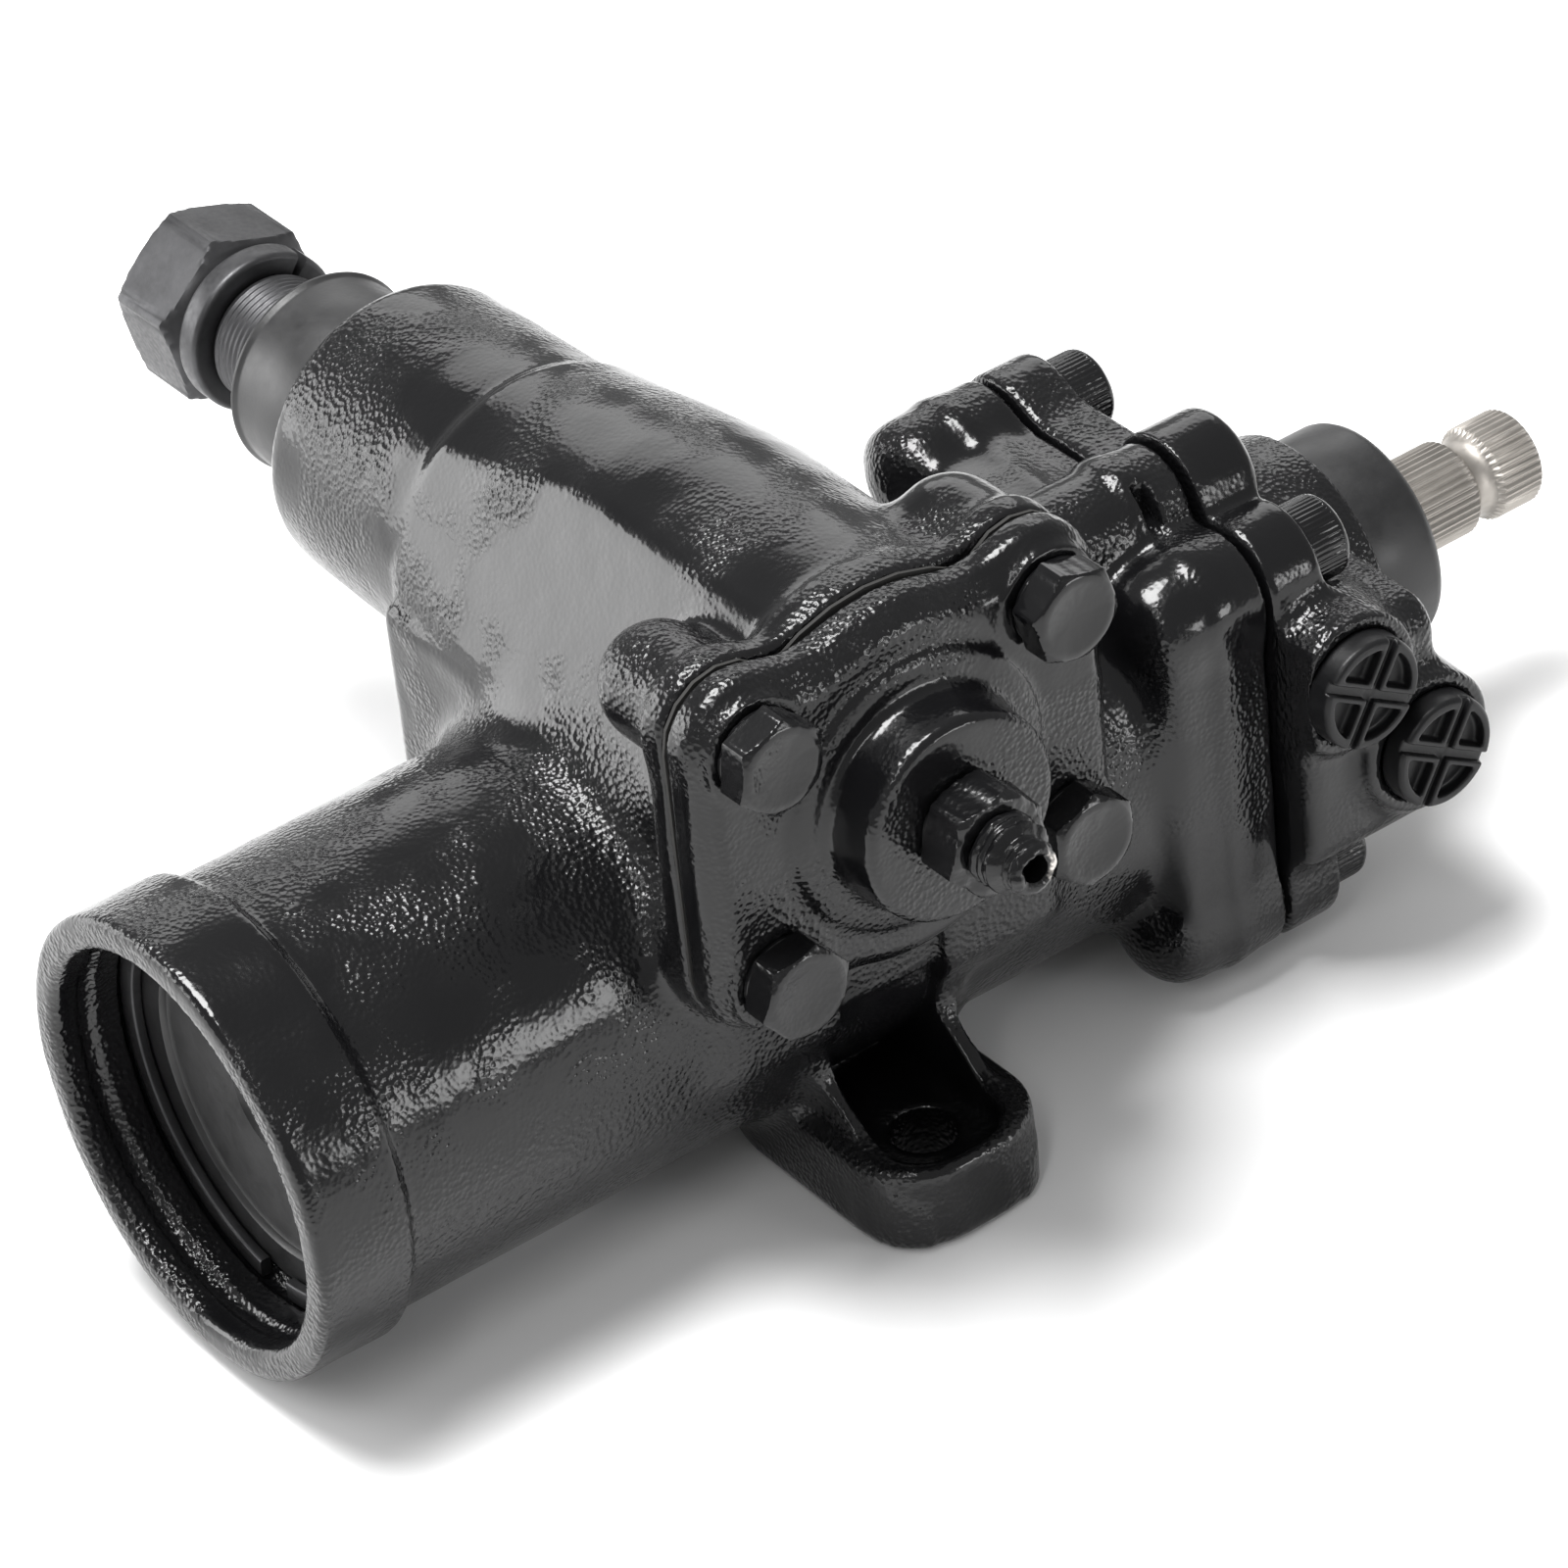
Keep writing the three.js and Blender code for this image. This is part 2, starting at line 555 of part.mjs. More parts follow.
function sectorShaft() {
  const stem = turned("y", [
    [-60.5, 0], [-60.5, SHAFT_R - 1], [-59.5, SHAFT_R], [124, SHAFT_R], [126, 15.1],
    [128, 14.2], [128, 0],
  ], onSector, SMALL);
  const splines = pulled("y", splineShape(20, 14.6, 13.4), 126, 146.5, 1)
    .intersect(turned("y", [[120, 0], [120, 16], [146.5, 13.8], [146.5, 0]]))
    .translate(...onSector);
  const thread = turned("y", [
    [144, 0], [144, 10.9], [NUT_Y[1] - 1.6, 10.9], [NUT_Y[1] - 0.4, 9.8], [NUT_Y[1] - 0.4, 0],
  ], onSector, SMALL);
  const teeth = pulled("y", sectorShape(), -FACE_HALF, FACE_HALF);
  const socket = disc("y", 8.6, -62, -55, onSector, FINE);
  return union([stem, splines, thread, teeth]).subtract(socket);
}
add("sector_shaft", sectorShaft(), "phosphate_steel");
add("sector_bearing_inner", ring("y", 19.5, SHAFT_R + 0.3, CAVITY_BACK_Y + 0.6, 46.6, onSector),
  "bearing_steel");
add("sector_bearing_outer", ring("y", 19.5, SHAFT_R + 0.3, 70, 88.3, onSector), "bearing_steel");
add("sector_shaft_seal", turned("y", [
  [89, 18], [89, 20.3], [95.6, 20.3], [95.6, SHAFT_R + 0.3], [94.6, SHAFT_R + 0.3], [93.6, 18], [89, 18],
], onSector, SMALL), "rubber");
add("sector_seal_backup_washer", ring("y", 20.2, SHAFT_R + 0.6, 96, 97.6, onSector, SMALL), "ptfe");
const sectorSnap = ring("y", 20.3, SHAFT_R + 1.2, 98, 99.8, onSector, SMALL);
add("sector_seal_retaining_ring", sectorSnap.subtract(
  box([SECTOR_X - 3, 97, SECTOR_Z], [SECTOR_X + 3, 101, SECTOR_Z + 30])), "phosphate_steel");
add("dust_seal", turned("y", [
  [100.2, SHAFT_R + 0.5], [100.2, 20.3], [125.4, 20.3], [126, 20.9], [127.6, 20.9], [128.5, 19.6],
  [128.5, SHAFT_R + 0.5], [100.2, SHAFT_R + 0.5],
], onSector, MEDIUM), "satin_black");
const washer = turned("y", [
  [147.2, 11.4], [147.2, 15.9], [148, 16.7], [152.4, 16.7], [153.2, 15.9], [153.2, 11.4], [147.2, 11.4],
], onSector, SMALL).subtract(
  box([-1.2, 140, 0], [1.2, 160, 30]).rotate([0, 40, 0]).translate(SECTOR_X, 0, SECTOR_Z));
add("lock_washer", washer, "phosphate_steel");
const nutBore = disc("y", 11.2, NUT_Y[0] - 2, NUT_Y[1] + 2, onSector, SMALL);
add("pitman_nut", hexPrism("y", NUT_FLATS, ...NUT_Y, 0.735, onSector, true, true).subtract(nutBore),
  "phosphate_steel");

// ---------- rack piston ----------
const PISTON_R = BORE_R - GAP;
const HEAD_X = SECTOR_X - 78;
const HEAD_END_X = SECTOR_X - 48;
const PISTON_END_X = SECTOR_X + 50;
const GUIDE_X = [SECTOR_X - 9.42, SECTOR_X + 9.42];

function rackPiston() {
  const blank = turned("x", [
    [HEAD_X, 0], [HEAD_X, PISTON_R - 1.5], [HEAD_X + 1.5, PISTON_R], [HEAD_X + 9, PISTON_R],
    [HEAD_X + 9, PISTON_R - 3.4], [HEAD_X + 13, PISTON_R - 3.4], [HEAD_X + 13, PISTON_R],
    [PISTON_END_X - 2, PISTON_R], [PISTON_END_X, PISTON_R - 2], [PISTON_END_X, 0],
  ], [0, 0, 0], LARGE);
  const rackTop = RACK_Z + RACK_ADDENDUM;
  const flat = box([HEAD_END_X, -50, rackTop], [PISTON_END_X + 5, 50, 60]);
  const halfSpace = (Math.PI * MODULE) / 4;
  const slope = Math.tan(PRESSURE);
  const spaces = [-1, 0, 1].map((i) => {
    const x = SECTOR_X + i * Math.PI * MODULE;
    const top = halfSpace + (RACK_ADDENDUM + 1) * slope;
    const bottom = halfSpace - RACK_DEDENDUM * slope;
    const cut = new THREE.Shape();
    cut.moveTo(x - bottom, RACK_Z - RACK_DEDENDUM);
    cut.lineTo(x + bottom, RACK_Z - RACK_DEDENDUM);
    cut.lineTo(x + top, rackTop + 1);
    cut.lineTo(x - top, rackTop + 1);
    return pulled("y", cut, -50, 50);
  });
  const nut = helicoid(grooveRows(NUT_LAND_R, NUT_GROOVE_R, 1), SECTOR_X - 26, SECTOR_X + 26, 0)
    .intersect(box([SECTOR_X - 24, -20, -20], [SECTOR_X + 24, 20, 20]));
  const bore = disc("x", 13, SECTOR_X - 50, SECTOR_X - 23, [0, 0, 0], SMALL)
    .add(disc("x", 14, HEAD_X - 5, SECTOR_X - 49, [0, 0, 0], SMALL))
    .add(disc("x", 12.6, SECTOR_X + 23, PISTON_END_X + 5, [0, 0, 0], SMALL));
  const seat = box([SECTOR_X - 17, -8, -60], [SECTOR_X + 17, 8, -18]);
  const runs = GUIDE_X.map((x) => disc("z", 4.9, -22, -12.5, [x, 0, 0], TINY));
  const tap = disc("z", 1.9, -30, -16.5, [SECTOR_X, 0, 0], TINY);
  return blank.subtract(union([flat, ...spaces, nut, bore, seat, ...runs, tap]));
}
add("rack_piston", rackPiston(), "phosphate_steel");
add("piston_seal_ring", ring("x", PISTON_R + 0.15, PISTON_R - 3.1, HEAD_X + 9.3, HEAD_X + 12.7,
  [0, 0, 0], LARGE), "ptfe");
add("piston_end_plug", disc("x", 13.7, HEAD_X + 2, HEAD_X + 12, [0, 0, 0], SMALL)
  .subtract(box([HEAD_X, -4.8, -4.8], [HEAD_X + 8, 4.8, 4.8])), "phosphate_steel");

class GuideCurve extends THREE.Curve {
  getPoint(t, target = new THREE.Vector3()) {
    const half = (GUIDE_X[1] - GUIDE_X[0]) / 2;
    const angle = Math.PI * t;
    const side = Math.cos(angle);
    const flat = Math.sign(side) * Math.min(1, Math.abs(side) * 1.25);
    return target.set(SECTOR_X - half * flat, 0, -14.9 - 10.4 * Math.sin(angle) ** 0.8);
  }
}
const guideSection = new THREE.Shape().absarc(0, 0, 4, 0, 2 * Math.PI, false);
guideSection.holes.push(new THREE.Path().absarc(0, 0, BALL_R + 0.2, 0, 2 * Math.PI, true));
const guideTube = new THREE.ExtrudeGeometry(guideSection, {
  steps: 10, curveSegments: 4, bevelEnabled: false, extrudePath: new GuideCurve(),
});
add("ball_return_guide", solid(guideTube), "bearing_steel");
const clampShape = new THREE.Shape();
clampShape.moveTo(SECTOR_X - 6, -29.9);
clampShape.lineTo(SECTOR_X + 6, -29.9);
clampShape.lineTo(SECTOR_X + 6, -31.7);
clampShape.lineTo(SECTOR_X - 6, -31.7);
add("ball_guide_clamp", pulled("y", clampShape, -7.6, 7.6), "phosphate_steel");

// ---------- worm ----------
const WORM_THREAD = [-56, 31];
const FLANGE_X = [66, 70];

function worm() {
  const screw = helicoid(grooveRows(WORM_LAND_R, WORM_GROOVE_R, -1), WORM_THREAD[0], WORM_THREAD[1], 0)
    .intersect(turned("x", [
      [WORM_THREAD[0], 0], [WORM_THREAD[0], 7.4], [WORM_THREAD[0] + 3, 12], [WORM_THREAD[1] - 3, 12],
      [WORM_THREAD[1], 9], [WORM_THREAD[1], 0],
    ], [0, 0, 0], SMALL));
  const head = turned("x", [
    [WORM_THREAD[1] - 8, 0], [WORM_THREAD[1] - 8, 7.5], [WORM_THREAD[1] + 2, 9.4], [FLANGE_X[0], 9.4],
    [FLANGE_X[0], 22], [FLANGE_X[1], 22], [FLANGE_X[1], 14], [82, 14], [82, 0],
  ], [0, 0, 0], SMALL);
  const pocket = disc("x", 9.3, 71.5, 90, [0, 0, 0], SMALL)
    .add(disc("x", 4.2, 41, 80, [0, 0, 0], TINY))
    .add(disc("z", 2.3, 5, 20, [78, 0, 0], TINY))
    .add(disc("z", 1.9, -20, 20, [52, 0, 0], TINY));
  return screw.add(head).subtract(pocket);
}
add("worm", worm(), "bearing_steel");

const ballGeometry = new THREE.SphereGeometry(BALL_R, 8, 6);
for (let i = 0; i < BALL_COUNT; i++) {
  const turn = (i - (BALL_COUNT - 1) / 2) * (Math.PI / 2) - Math.PI / 4;
  const x = LEAD * (turn / (2 * Math.PI)) + LEAD * Math.floor(SECTOR_X / LEAD + 0.5);
  const position = [x, BALL_CIRCLE_R * Math.cos(turn), BALL_CIRCLE_R * Math.sin(turn)];
  place(`ball_${i + 1}`, ballGeometry, "bearing_steel", position);
}

add("torsion_bar", turned("x", [
  [42, 0], [42, 3.8], [58, 3.8], [61, 2.6], [100, 2.6], [103, 3.8], [114, 3.8], [114, 0],
], [0, 0, 0], TINY).subtract(disc("z", 1.9, -6, 6, [52, 0, 0], TINY))
  .subtract(disc("z", 2.4, -6, 6, [108, 0, 0], TINY)), "bearing_steel");
add("torsion_bar_pin_worm", disc("z", 1.6, -9, 9, [52, 0, 0], TINY), "bearing_steel");
add("torsion_bar_pin_input", disc("z", 1.6, -11.6, 11.6, [108, 0, 0], TINY), "bearing_steel");

// ---------- worm bearings and their nut ----------
const SPIGOT_X = 56;
const SPIGOT_R = BORE_R - GAP;
const bearingProfile = (low, high) => [
  [low, 15], [low, 22.6], [low + 1, 22.6], [low + 1, 21.4], [high - 1, 21.4], [high - 1, 22.6],
  [high, 22.6], [high, 15], [low, 15],
];
add("worm_bearing_inner", turned("x", bearingProfile(62.2, 65.7), [0, 0, 0], SMALL), "bearing_steel");
add("worm_bearing_outer", turned("x", bearingProfile(70.3, 75.6), [0, 0, 0], SMALL), "bearing_steel");
const notches = [0, 1, 2, 3].map((i) =>
  box([55, 19, -2.5], [59, 26, 2.5]).rotate([(i * 180) / 2, 0, 0]));
add("worm_bearing_nut", ring("x", 23.6, 10.4, SPIGOT_X + 0.4, 61.9).subtract(union(notches)),
  "phosphate_steel");

// ---------- valve housing ----------
function valveHousing() {
  const core = turned("x", [
    [SPIGOT_X, 0], [SPIGOT_X, SPIGOT_R - 1], [SPIGOT_X + 1, SPIGOT_R], [66, SPIGOT_R], [66, SPIGOT_R - 3],
    [69.6, SPIGOT_R - 3], [69.6, SPIGOT_R], [VALVE_FACE_X, SPIGOT_R], [VALVE_FACE_X, 38], [EAR_X, 38],
    [98, 31], [106, 28.4], [112, NECK_R], [118, NECK_R], [NECK_END_X, NECK_R - 2], [NECK_END_X, 0],
  ], [0, 0, 0], LARGE);
  const flange = valveFlange(VALVE_FACE_X, EAR_X);
  const crest = turned("x", [
    [VALVE_FACE_X, 0], [VALVE_FACE_X, 11.5], [92, 10.5], [99, 6], [99, 0],
  ], [0, -15, 44], FINE);
  const blockShape = new THREE.Shape();
  blockShape.moveTo(-53.5, -17);
  blockShape.absarc(-46.5, -17, 7, Math.PI, Math.PI * 1.5, false);
  blockShape.lineTo(-10, -25);
  blockShape.lineTo(-10, 24);
  blockShape.absarc(-45.5, 16, 8, Math.PI / 2, Math.PI, false);
  const block = pulled("x", blockShape, VALVE_FACE_X, 109, 3);
  const trim = box([VALVE_FACE_X, -80, -90], [120, 80, 90]);
  const bosses = PORTS.map(({ x, z }) =>
    turned("y", [
      [PORT_FACE_Y, 0], [PORT_FACE_Y, 13.7], [PORT_FACE_Y + 0.9, 14.4], [-44, 15], [-44, 0],
    ], [x, 0, z], SMALL).intersect(trim));
  const shell = union([core, flange, crest, block, ...bosses]);
  const cuts = [
    disc("x", 24, SPIGOT_X - 5, 76, [0, 0, 0], MEDIUM),
    disc("x", 20.6, 70, 112, [0, 0, 0], MEDIUM),
    disc("x", 15, 108, 121.2, [0, 0, 0], SMALL),
    disc("x", 17, 121, NECK_END_X + 20, [0, 0, 0], SMALL),
    valveScrewHoles(5.3, SEAM_X - 10, EAR_X + 20),
    ...PORTS.map(({ x, z }) => disc("y", PORT_BORE_R, PORT_FACE_Y - 5, -40, [x, 0, z], FINE)),
    ...PORTS.map(({ x, z }) =>
      disc("y", PORT_SEAT_R, PORT_FACE_Y - 5, PORT_FACE_Y + PORT_SEAT_DEEP, [x, 0, z], SMALL)),
    ...PORTS.map(({ x, z }) => disc("y", 3.5, -45, -10, [x, 0, z * 0.6], TINY)),
  ];
  return shell.subtract(union(cuts));
}
add("valve_housing", valveHousing(), "black_paint");
const spigotRing = ring("x", SPIGOT_R - 0.1, SPIGOT_R - 2.7, 66.3, 69.3, [0, 0, 0], LARGE);
add("valve_housing_o_ring", spigotRing, "rubber");

const screwHead = disc("x", 8.2, 0.3, 10, [0, 0, 0], SMALL)
  .add(disc("x", BOLT_SHANK_R, -24, 2, [0, 0, 0], TINY))
  .subtract(pulled("x", polygon(6, 4.6), 5, 12));
const screwGeometry = geometryOf(screwHead);
valveScrews.forEach(([y, z], i) => {
  const turn = 0.4 + 0.9 * i;
  place(`valve_housing_screw_${i + 1}`, screwGeometry, "black_paint", [EAR_X, y, z], [turn, 0, 0]);
});

// ---------- rotary valve ----------
const SLEEVE_R = 20.3;
const SLEEVE_RINGS = [85, 95, 105];
function valveSleeve() {
  const profile = [[76.2, 14.4], [76.2, SLEEVE_R - 2.4], [82.6, SLEEVE_R - 2.4], [82.6, SLEEVE_R]];
  for (const x of SLEEVE_RINGS) {
    profile.push([x, SLEEVE_R], [x, SLEEVE_R - 2], [x + 2, SLEEVE_R - 2], [x + 2, SLEEVE_R]);
  }
  profile.push([111.4, SLEEVE_R], [111.4, 12.4], [82.5, 12.4], [82.5, 14.4], [76.2, 14.4]);
  const ports = [90, 100.5].flatMap((x, row) =>
    [0, 1, 2].map((i) => disc("z", 2, 8, 30, [x, 0, 0], TINY).rotate([i * 120 + row * 60, 0, 0])));
  const slot = box([70, -2.5, 10], [80.6, 2.5, 30]);
  return turned("x", profile, [0, 0, 0], MEDIUM).subtract(union([...ports, slot]));
}
add("valve_sleeve", valveSleeve(), "bearing_steel");
SLEEVE_RINGS.forEach((x, i) => {
  add(`valve_sleeve_ring_${i + 1}`, ring("x", SLEEVE_R, SLEEVE_R - 1.7, x + 0.3, x + 1.7), "ptfe");
});
add("worm_drive_pin", disc("z", 2, 11, 19, [78, 0, 0], TINY), "bearing_steel");

// ---------- input shaft ----------
function inputShaft() {
  const body = turned("x", [
    [72, 0], [72, 8.9], [82.3, 8.9], [83.8, 12], [111.5, 12], [111.5, 10.3], [134, 10.3], [135, 8.2],
    [INPUT_END_X - 15, 8.2], [INPUT_END_X - 14, 7.7], [INPUT_END_X - 11.5, 7.7], [INPUT_END_X - 10, 8.2],
    [INPUT_END_X - 8, 8.2], [INPUT_END_X - 8, 0],
  ], [0, 0, 0], SMALL);
  const splines = pulled("x", splineShape(18, 9.7, 8.6), 134, INPUT_END_X, 1);
  const waist = turned("x", [
    [130, 0], [130, 10.4], [155, 10.4], [158, 7.7], [161, 7.7], [163.5, 10.4], [INPUT_END_X, 10.4],
    [INPUT_END_X, 0],
  ]);
  const grooves = [0, 1, 2, 3, 4, 5].map((i) =>
    box([88, -1.6, 10.8], [106, 1.6, 20]).rotate([i * 60, 0, 0]));
  const bore = disc("x", 4.2, 60, 116, [0, 0, 0], TINY)
    .add(disc("z", 1.9, -20, 20, [108, 0, 0], TINY));
  return body.add(splines.intersect(waist)).subtract(union([...grooves, bore]));
}
add("input_shaft", inputShaft(), "bright_steel");
add("input_bearing", ring("x", 14.7, 10.6, 112.4, 120.8, [0, 0, 0], SMALL), "bearing_steel");
add("input_shaft_seal", turned("x", [
  [121.6, 12.6], [121.6, 16.7], [127.8, 16.7], [127.8, 10.6], [126.6, 10.6], [125.4, 12.6], [121.6, 12.6],
], [0, 0, 0], SMALL), "rubber");
add("nose_dust_cap", turned("x", [
  [NECK_END_X + 0.3, 17.2], [NECK_END_X + 0.3, NOSE_R - 0.8], [NECK_END_X + 1.2, NOSE_R],
  [NOSE_END_X - 2.2, NOSE_R], [NOSE_END_X - 0.7, NOSE_R - 0.7], [NOSE_END_X, NOSE_R - 2.2],
  [NOSE_END_X, 14], [NOSE_END_X - 1.5, 12.4], [NOSE_END_X - 1.5, 10.7], [NOSE_END_X - 5, 10.7],
  [NOSE_END_X - 5, 17.2], [NECK_END_X + 0.3, 17.2],
], [0, 0, 0], MEDIUM), "satin_black");

// ---------- shipping plugs in the ports ----------
function portPlug() {
  const head = turned("y", [
    [-4.6, 0], [-4.6, 10.2], [-3.8, 11.2], [0.7, 11.4], [0.7, 9.2], [11, 8.6], [11, 0],
  ], [0, 0, 0], SMALL);
  const slots = [0, 1].map((i) =>
    box([-13, -8, -1.7], [13, -2.4, 1.7]).rotate([0, i * 90, 0]));
  const dish = disc("y", 3.4, -8, -2.4, [0, 0, 0], TINY);
  return head.subtract(union([...slots, dish]));
}
const plugGeometry = geometryOf(portPlug());
for (const { name, x, z } of PORTS) {
  const position = [x, PORT_FACE_Y, z];
  place(`${name}_port_plug`, plugGeometry, "black_plastic", position, [0, 0.55, 0]);
}

// ---------- whole part, with the origin at the bottom centre of its box ----------
const gearbox = new THREE.Group();
shop.position.set(
  -(MOUTH_X + INPUT_END_X) / 2,
  -(ADJUSTER_END_Y + NUT_Y[1]) / 2,
  -FOOT_Z,
);
gearbox.add(shop);

export default gearbox;
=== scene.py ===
"""Looks for a recirculating-ball worm steering gearbox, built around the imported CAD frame.

Shapes are worked out in millimetres in the shaft frame: X is the worm axis, Y the direction of
the sector shaft, Z up. AXES moves them into the frame of the CAD part, in metres.
"""

import json
import math

import bpy
import bmesh
import numpy as np
from mathutils import Matrix, Vector


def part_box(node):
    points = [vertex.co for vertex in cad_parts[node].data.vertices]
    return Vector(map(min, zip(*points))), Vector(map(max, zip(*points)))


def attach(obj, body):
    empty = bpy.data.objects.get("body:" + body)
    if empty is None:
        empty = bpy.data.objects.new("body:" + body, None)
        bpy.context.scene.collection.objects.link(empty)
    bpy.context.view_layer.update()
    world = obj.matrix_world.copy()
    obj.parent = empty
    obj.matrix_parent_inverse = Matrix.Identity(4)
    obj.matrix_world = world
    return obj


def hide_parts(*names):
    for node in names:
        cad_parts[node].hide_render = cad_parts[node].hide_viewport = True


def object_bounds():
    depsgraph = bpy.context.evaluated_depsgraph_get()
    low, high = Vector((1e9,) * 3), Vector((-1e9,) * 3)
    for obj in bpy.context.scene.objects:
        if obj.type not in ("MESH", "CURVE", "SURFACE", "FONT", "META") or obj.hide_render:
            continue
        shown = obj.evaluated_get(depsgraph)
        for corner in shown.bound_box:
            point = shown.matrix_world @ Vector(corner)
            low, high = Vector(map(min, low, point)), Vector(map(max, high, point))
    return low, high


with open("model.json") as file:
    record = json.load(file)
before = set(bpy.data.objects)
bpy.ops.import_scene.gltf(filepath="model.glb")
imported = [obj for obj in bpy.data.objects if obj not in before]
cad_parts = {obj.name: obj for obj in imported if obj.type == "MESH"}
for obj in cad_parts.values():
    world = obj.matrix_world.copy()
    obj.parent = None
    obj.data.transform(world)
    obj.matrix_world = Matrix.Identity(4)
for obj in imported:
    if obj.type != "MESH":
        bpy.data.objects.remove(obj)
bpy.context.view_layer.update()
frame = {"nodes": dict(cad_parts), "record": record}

# ---------------------------------------------------------------- places, from the frame
MM = 0.001
JOINTS = {joint["name"]: joint for joint in frame["record"]["behaviour"]["joints"]}
NOSE_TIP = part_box("input_shaft")[1]
INPUT_END_X = 173.0
AXES = Vector((
    NOSE_TIP.x - INPUT_END_X * MM,
    JOINTS["worm_spin"]["pos_m"][1],
    JOINTS["worm_spin"]["pos_m"][2],
))
SECTOR_X = (JOINTS["sector_turn"]["pos_m"][0] - AXES.x) / MM
SECTOR_Z = (JOINTS["sector_turn"]["pos_m"][2] - AXES.z) / MM
SECTOR = (SECTOR_X, 0.0, SECTOR_Z)


def node_span(node, axis):
    """Lowest and highest coordinate of a CAD node along an axis, in shaft-frame millimetres."""
    low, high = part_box(node)
    return (low[axis] - AXES[axis]) / MM, (high[axis] - AXES[axis]) / MM


# ---------------------------------------------------------------- driving sizes, millimetres
FOOT_Z = -48.0
MOUTH_X = node_span("gear_housing", 0)[0]
MOUTH_R = 38.7
COLLAR_R = 45.85
COLLAR_END_X = -119.9
BARREL_R = 43.4
BORE_R = 36.0
PLUG_FACE_X, PLUG_BACK_X = node_span("end_plug", 0)
SEAM_X = 75.0
TUBE_END_Y = 103.6
TOWER_BACK_Y = 57.0
TOWER_FLAT_X = -50.5
TOWER_FLAT_TOP, TOWER_FLAT_FOOT = (-30.5, 80.2), (-50.5, 45.0)
COVER_FACE_Y = -47.0
COVER_R = 37.6
COVER_LOBE_R = 13.0
LIP_T = 5.6
BOLT_DX, BOLT_DZ = 32.2, 24.4
SCREW_Y, SCREW_Z = 34.3, 34.5
SCREW_LOBE_R = 11.5
EAR_X = 88.5
CREST = (-15.0, 44.0)
LUG = (-14.0, -51.0)
REAR_LUGS = ((-62.0, 54.0), (34.0, 54.0))
REAR_LUG_R = 15.0
FRAME_HOLE_R = 6.3
TAPPED_HOLE_R = 4.9
PORTS = {"pressure": (86.0, 17.5), "return": (102.5, -4.0)}
PORT_FACE_Y = -57.0
NOSE_R = 23.0
COVER_BACK_Y, BOSS_END_Y = node_span("side_cover", 1)[1], node_span("side_cover", 1)[0]
COVER_FRONT_Y = COVER_BACK_Y - 9.7
BOSS_R = 20.6
SPIGOT_X, SPIGOT_R = 62.0, 35.7
NECK_END_X = 119.6
HOUSING_FACE_X = SEAM_X + 0.82
SHAFT_SPLIT_Y = 122.0
SERRATION_R, NECK_R, THREAD_R = 15.1, 13.1, 10.9
PLUG_TURN = 0.55
HALF_HEX_SIDE = math.pi / 6
FULL_TURN = 2 * math.pi

COVER_BOLTS = [(SECTOR_X + sx * BOLT_DX, SECTOR_Z + sz * BOLT_DZ) for sx in (-1, 1) for sz in (-1, 1)]
VALVE_SCREWS = [(sy * SCREW_Y, sz * SCREW_Z) for sy in (-1, 1) for sz in (-1, 1)]


# ---------------------------------------------------------------- distance fields
class Field:
    """A box of sample points, for building a casting as a signed distance field."""

    def __init__(self, low, high, step):
        self.low = np.array(low, np.float32)
        self.step = step
        counts = [int(math.ceil((h - l) / step)) + 1 for l, h in zip(low, high)]
        axes = [l + step * np.arange(n, dtype=np.float32) for l, n in zip(low, counts)]
        self.x = axes[0][:, None, None]
        self.y = axes[1][None, :, None]
        self.z = axes[2][None, None, :]
        self.axes = (self.x, self.y, self.z)

    def across(self, axis, at):
        """Distance from the line through at along an axis."""
        others = [i for i in range(3) if i != axis]
        a, b = (self.axes[i] - np.float32(at[i]) for i in others)
        return np.sqrt(a * a + b * b)

    def turned(self, axis, at, profile, corner=0.0):
        """Solid of revolution: profile is (along, radius) pairs from one end to the other."""
        along = self.axes[axis] - np.float32(at[axis])
        places, radii = zip(*profile)
        radius = np.interp(along, places, radii).astype(np.float32)
        slope = np.gradient(radius.ravel(), self.step)
        lean = (1 / np.sqrt(1 + np.clip(slope, -1.5, 1.5) ** 2)).astype(np.float32)
        side = (self.across(axis, at) - radius) * lean.reshape(radius.shape)
        ends = np.maximum(places[0] - along, along - places[-1])
        return smooth_max(side, ends, corner)

    def rod(self, axis, at, radius, low, high, corner=0.0):
        """Cylinder along an axis, between two planes."""
        along = self.axes[axis]
        return smooth_max(self.across(axis, at) - radius, np.maximum(low - along, along - high), corner)

    def block(self, low, high, corner=0.0):
        """Box with rounded edges."""
        parts = []
        for i in range(3):
            middle, half = (low[i] + high[i]) / 2, (high[i] - low[i]) / 2 - corner
            parts.append(np.abs(self.axes[i] - np.float32(middle)) - np.float32(half))
        outside = sum(np.maximum(p, 0) ** 2 for p in parts)
        inside = np.minimum(np.maximum(np.maximum(parts[0], parts[1]), parts[2]), 0)
        return np.sqrt(outside) + inside - corner

    def bar(self, a, b, radius):
        """Rod with round ends between two points."""
        a, b = np.array(a, np.float32), np.array(b, np.float32)
        line = b - a
        offset = [self.axes[i] - a[i] for i in range(3)]
        share = np.clip(sum(offset[i] * line[i] for i in range(3)) / float(line @ line), 0, 1)
        return np.sqrt(sum((offset[i] - share * line[i]) ** 2 for i in range(3))) - radius

    def slab(self, axis, flat, low, high, corner=0.0):
        """A flat outline, given as a distance, between two planes."""
        along = self.axes[axis]
        return smooth_max(flat, np.maximum(low - along, along - high), corner)

    def half(self, normal, point):
        """Half space behind a plane."""
        size = math.sqrt(sum(n * n for n in normal))
        return sum((self.axes[i] - np.float32(point[i])) * (normal[i] / size) for i in range(3))


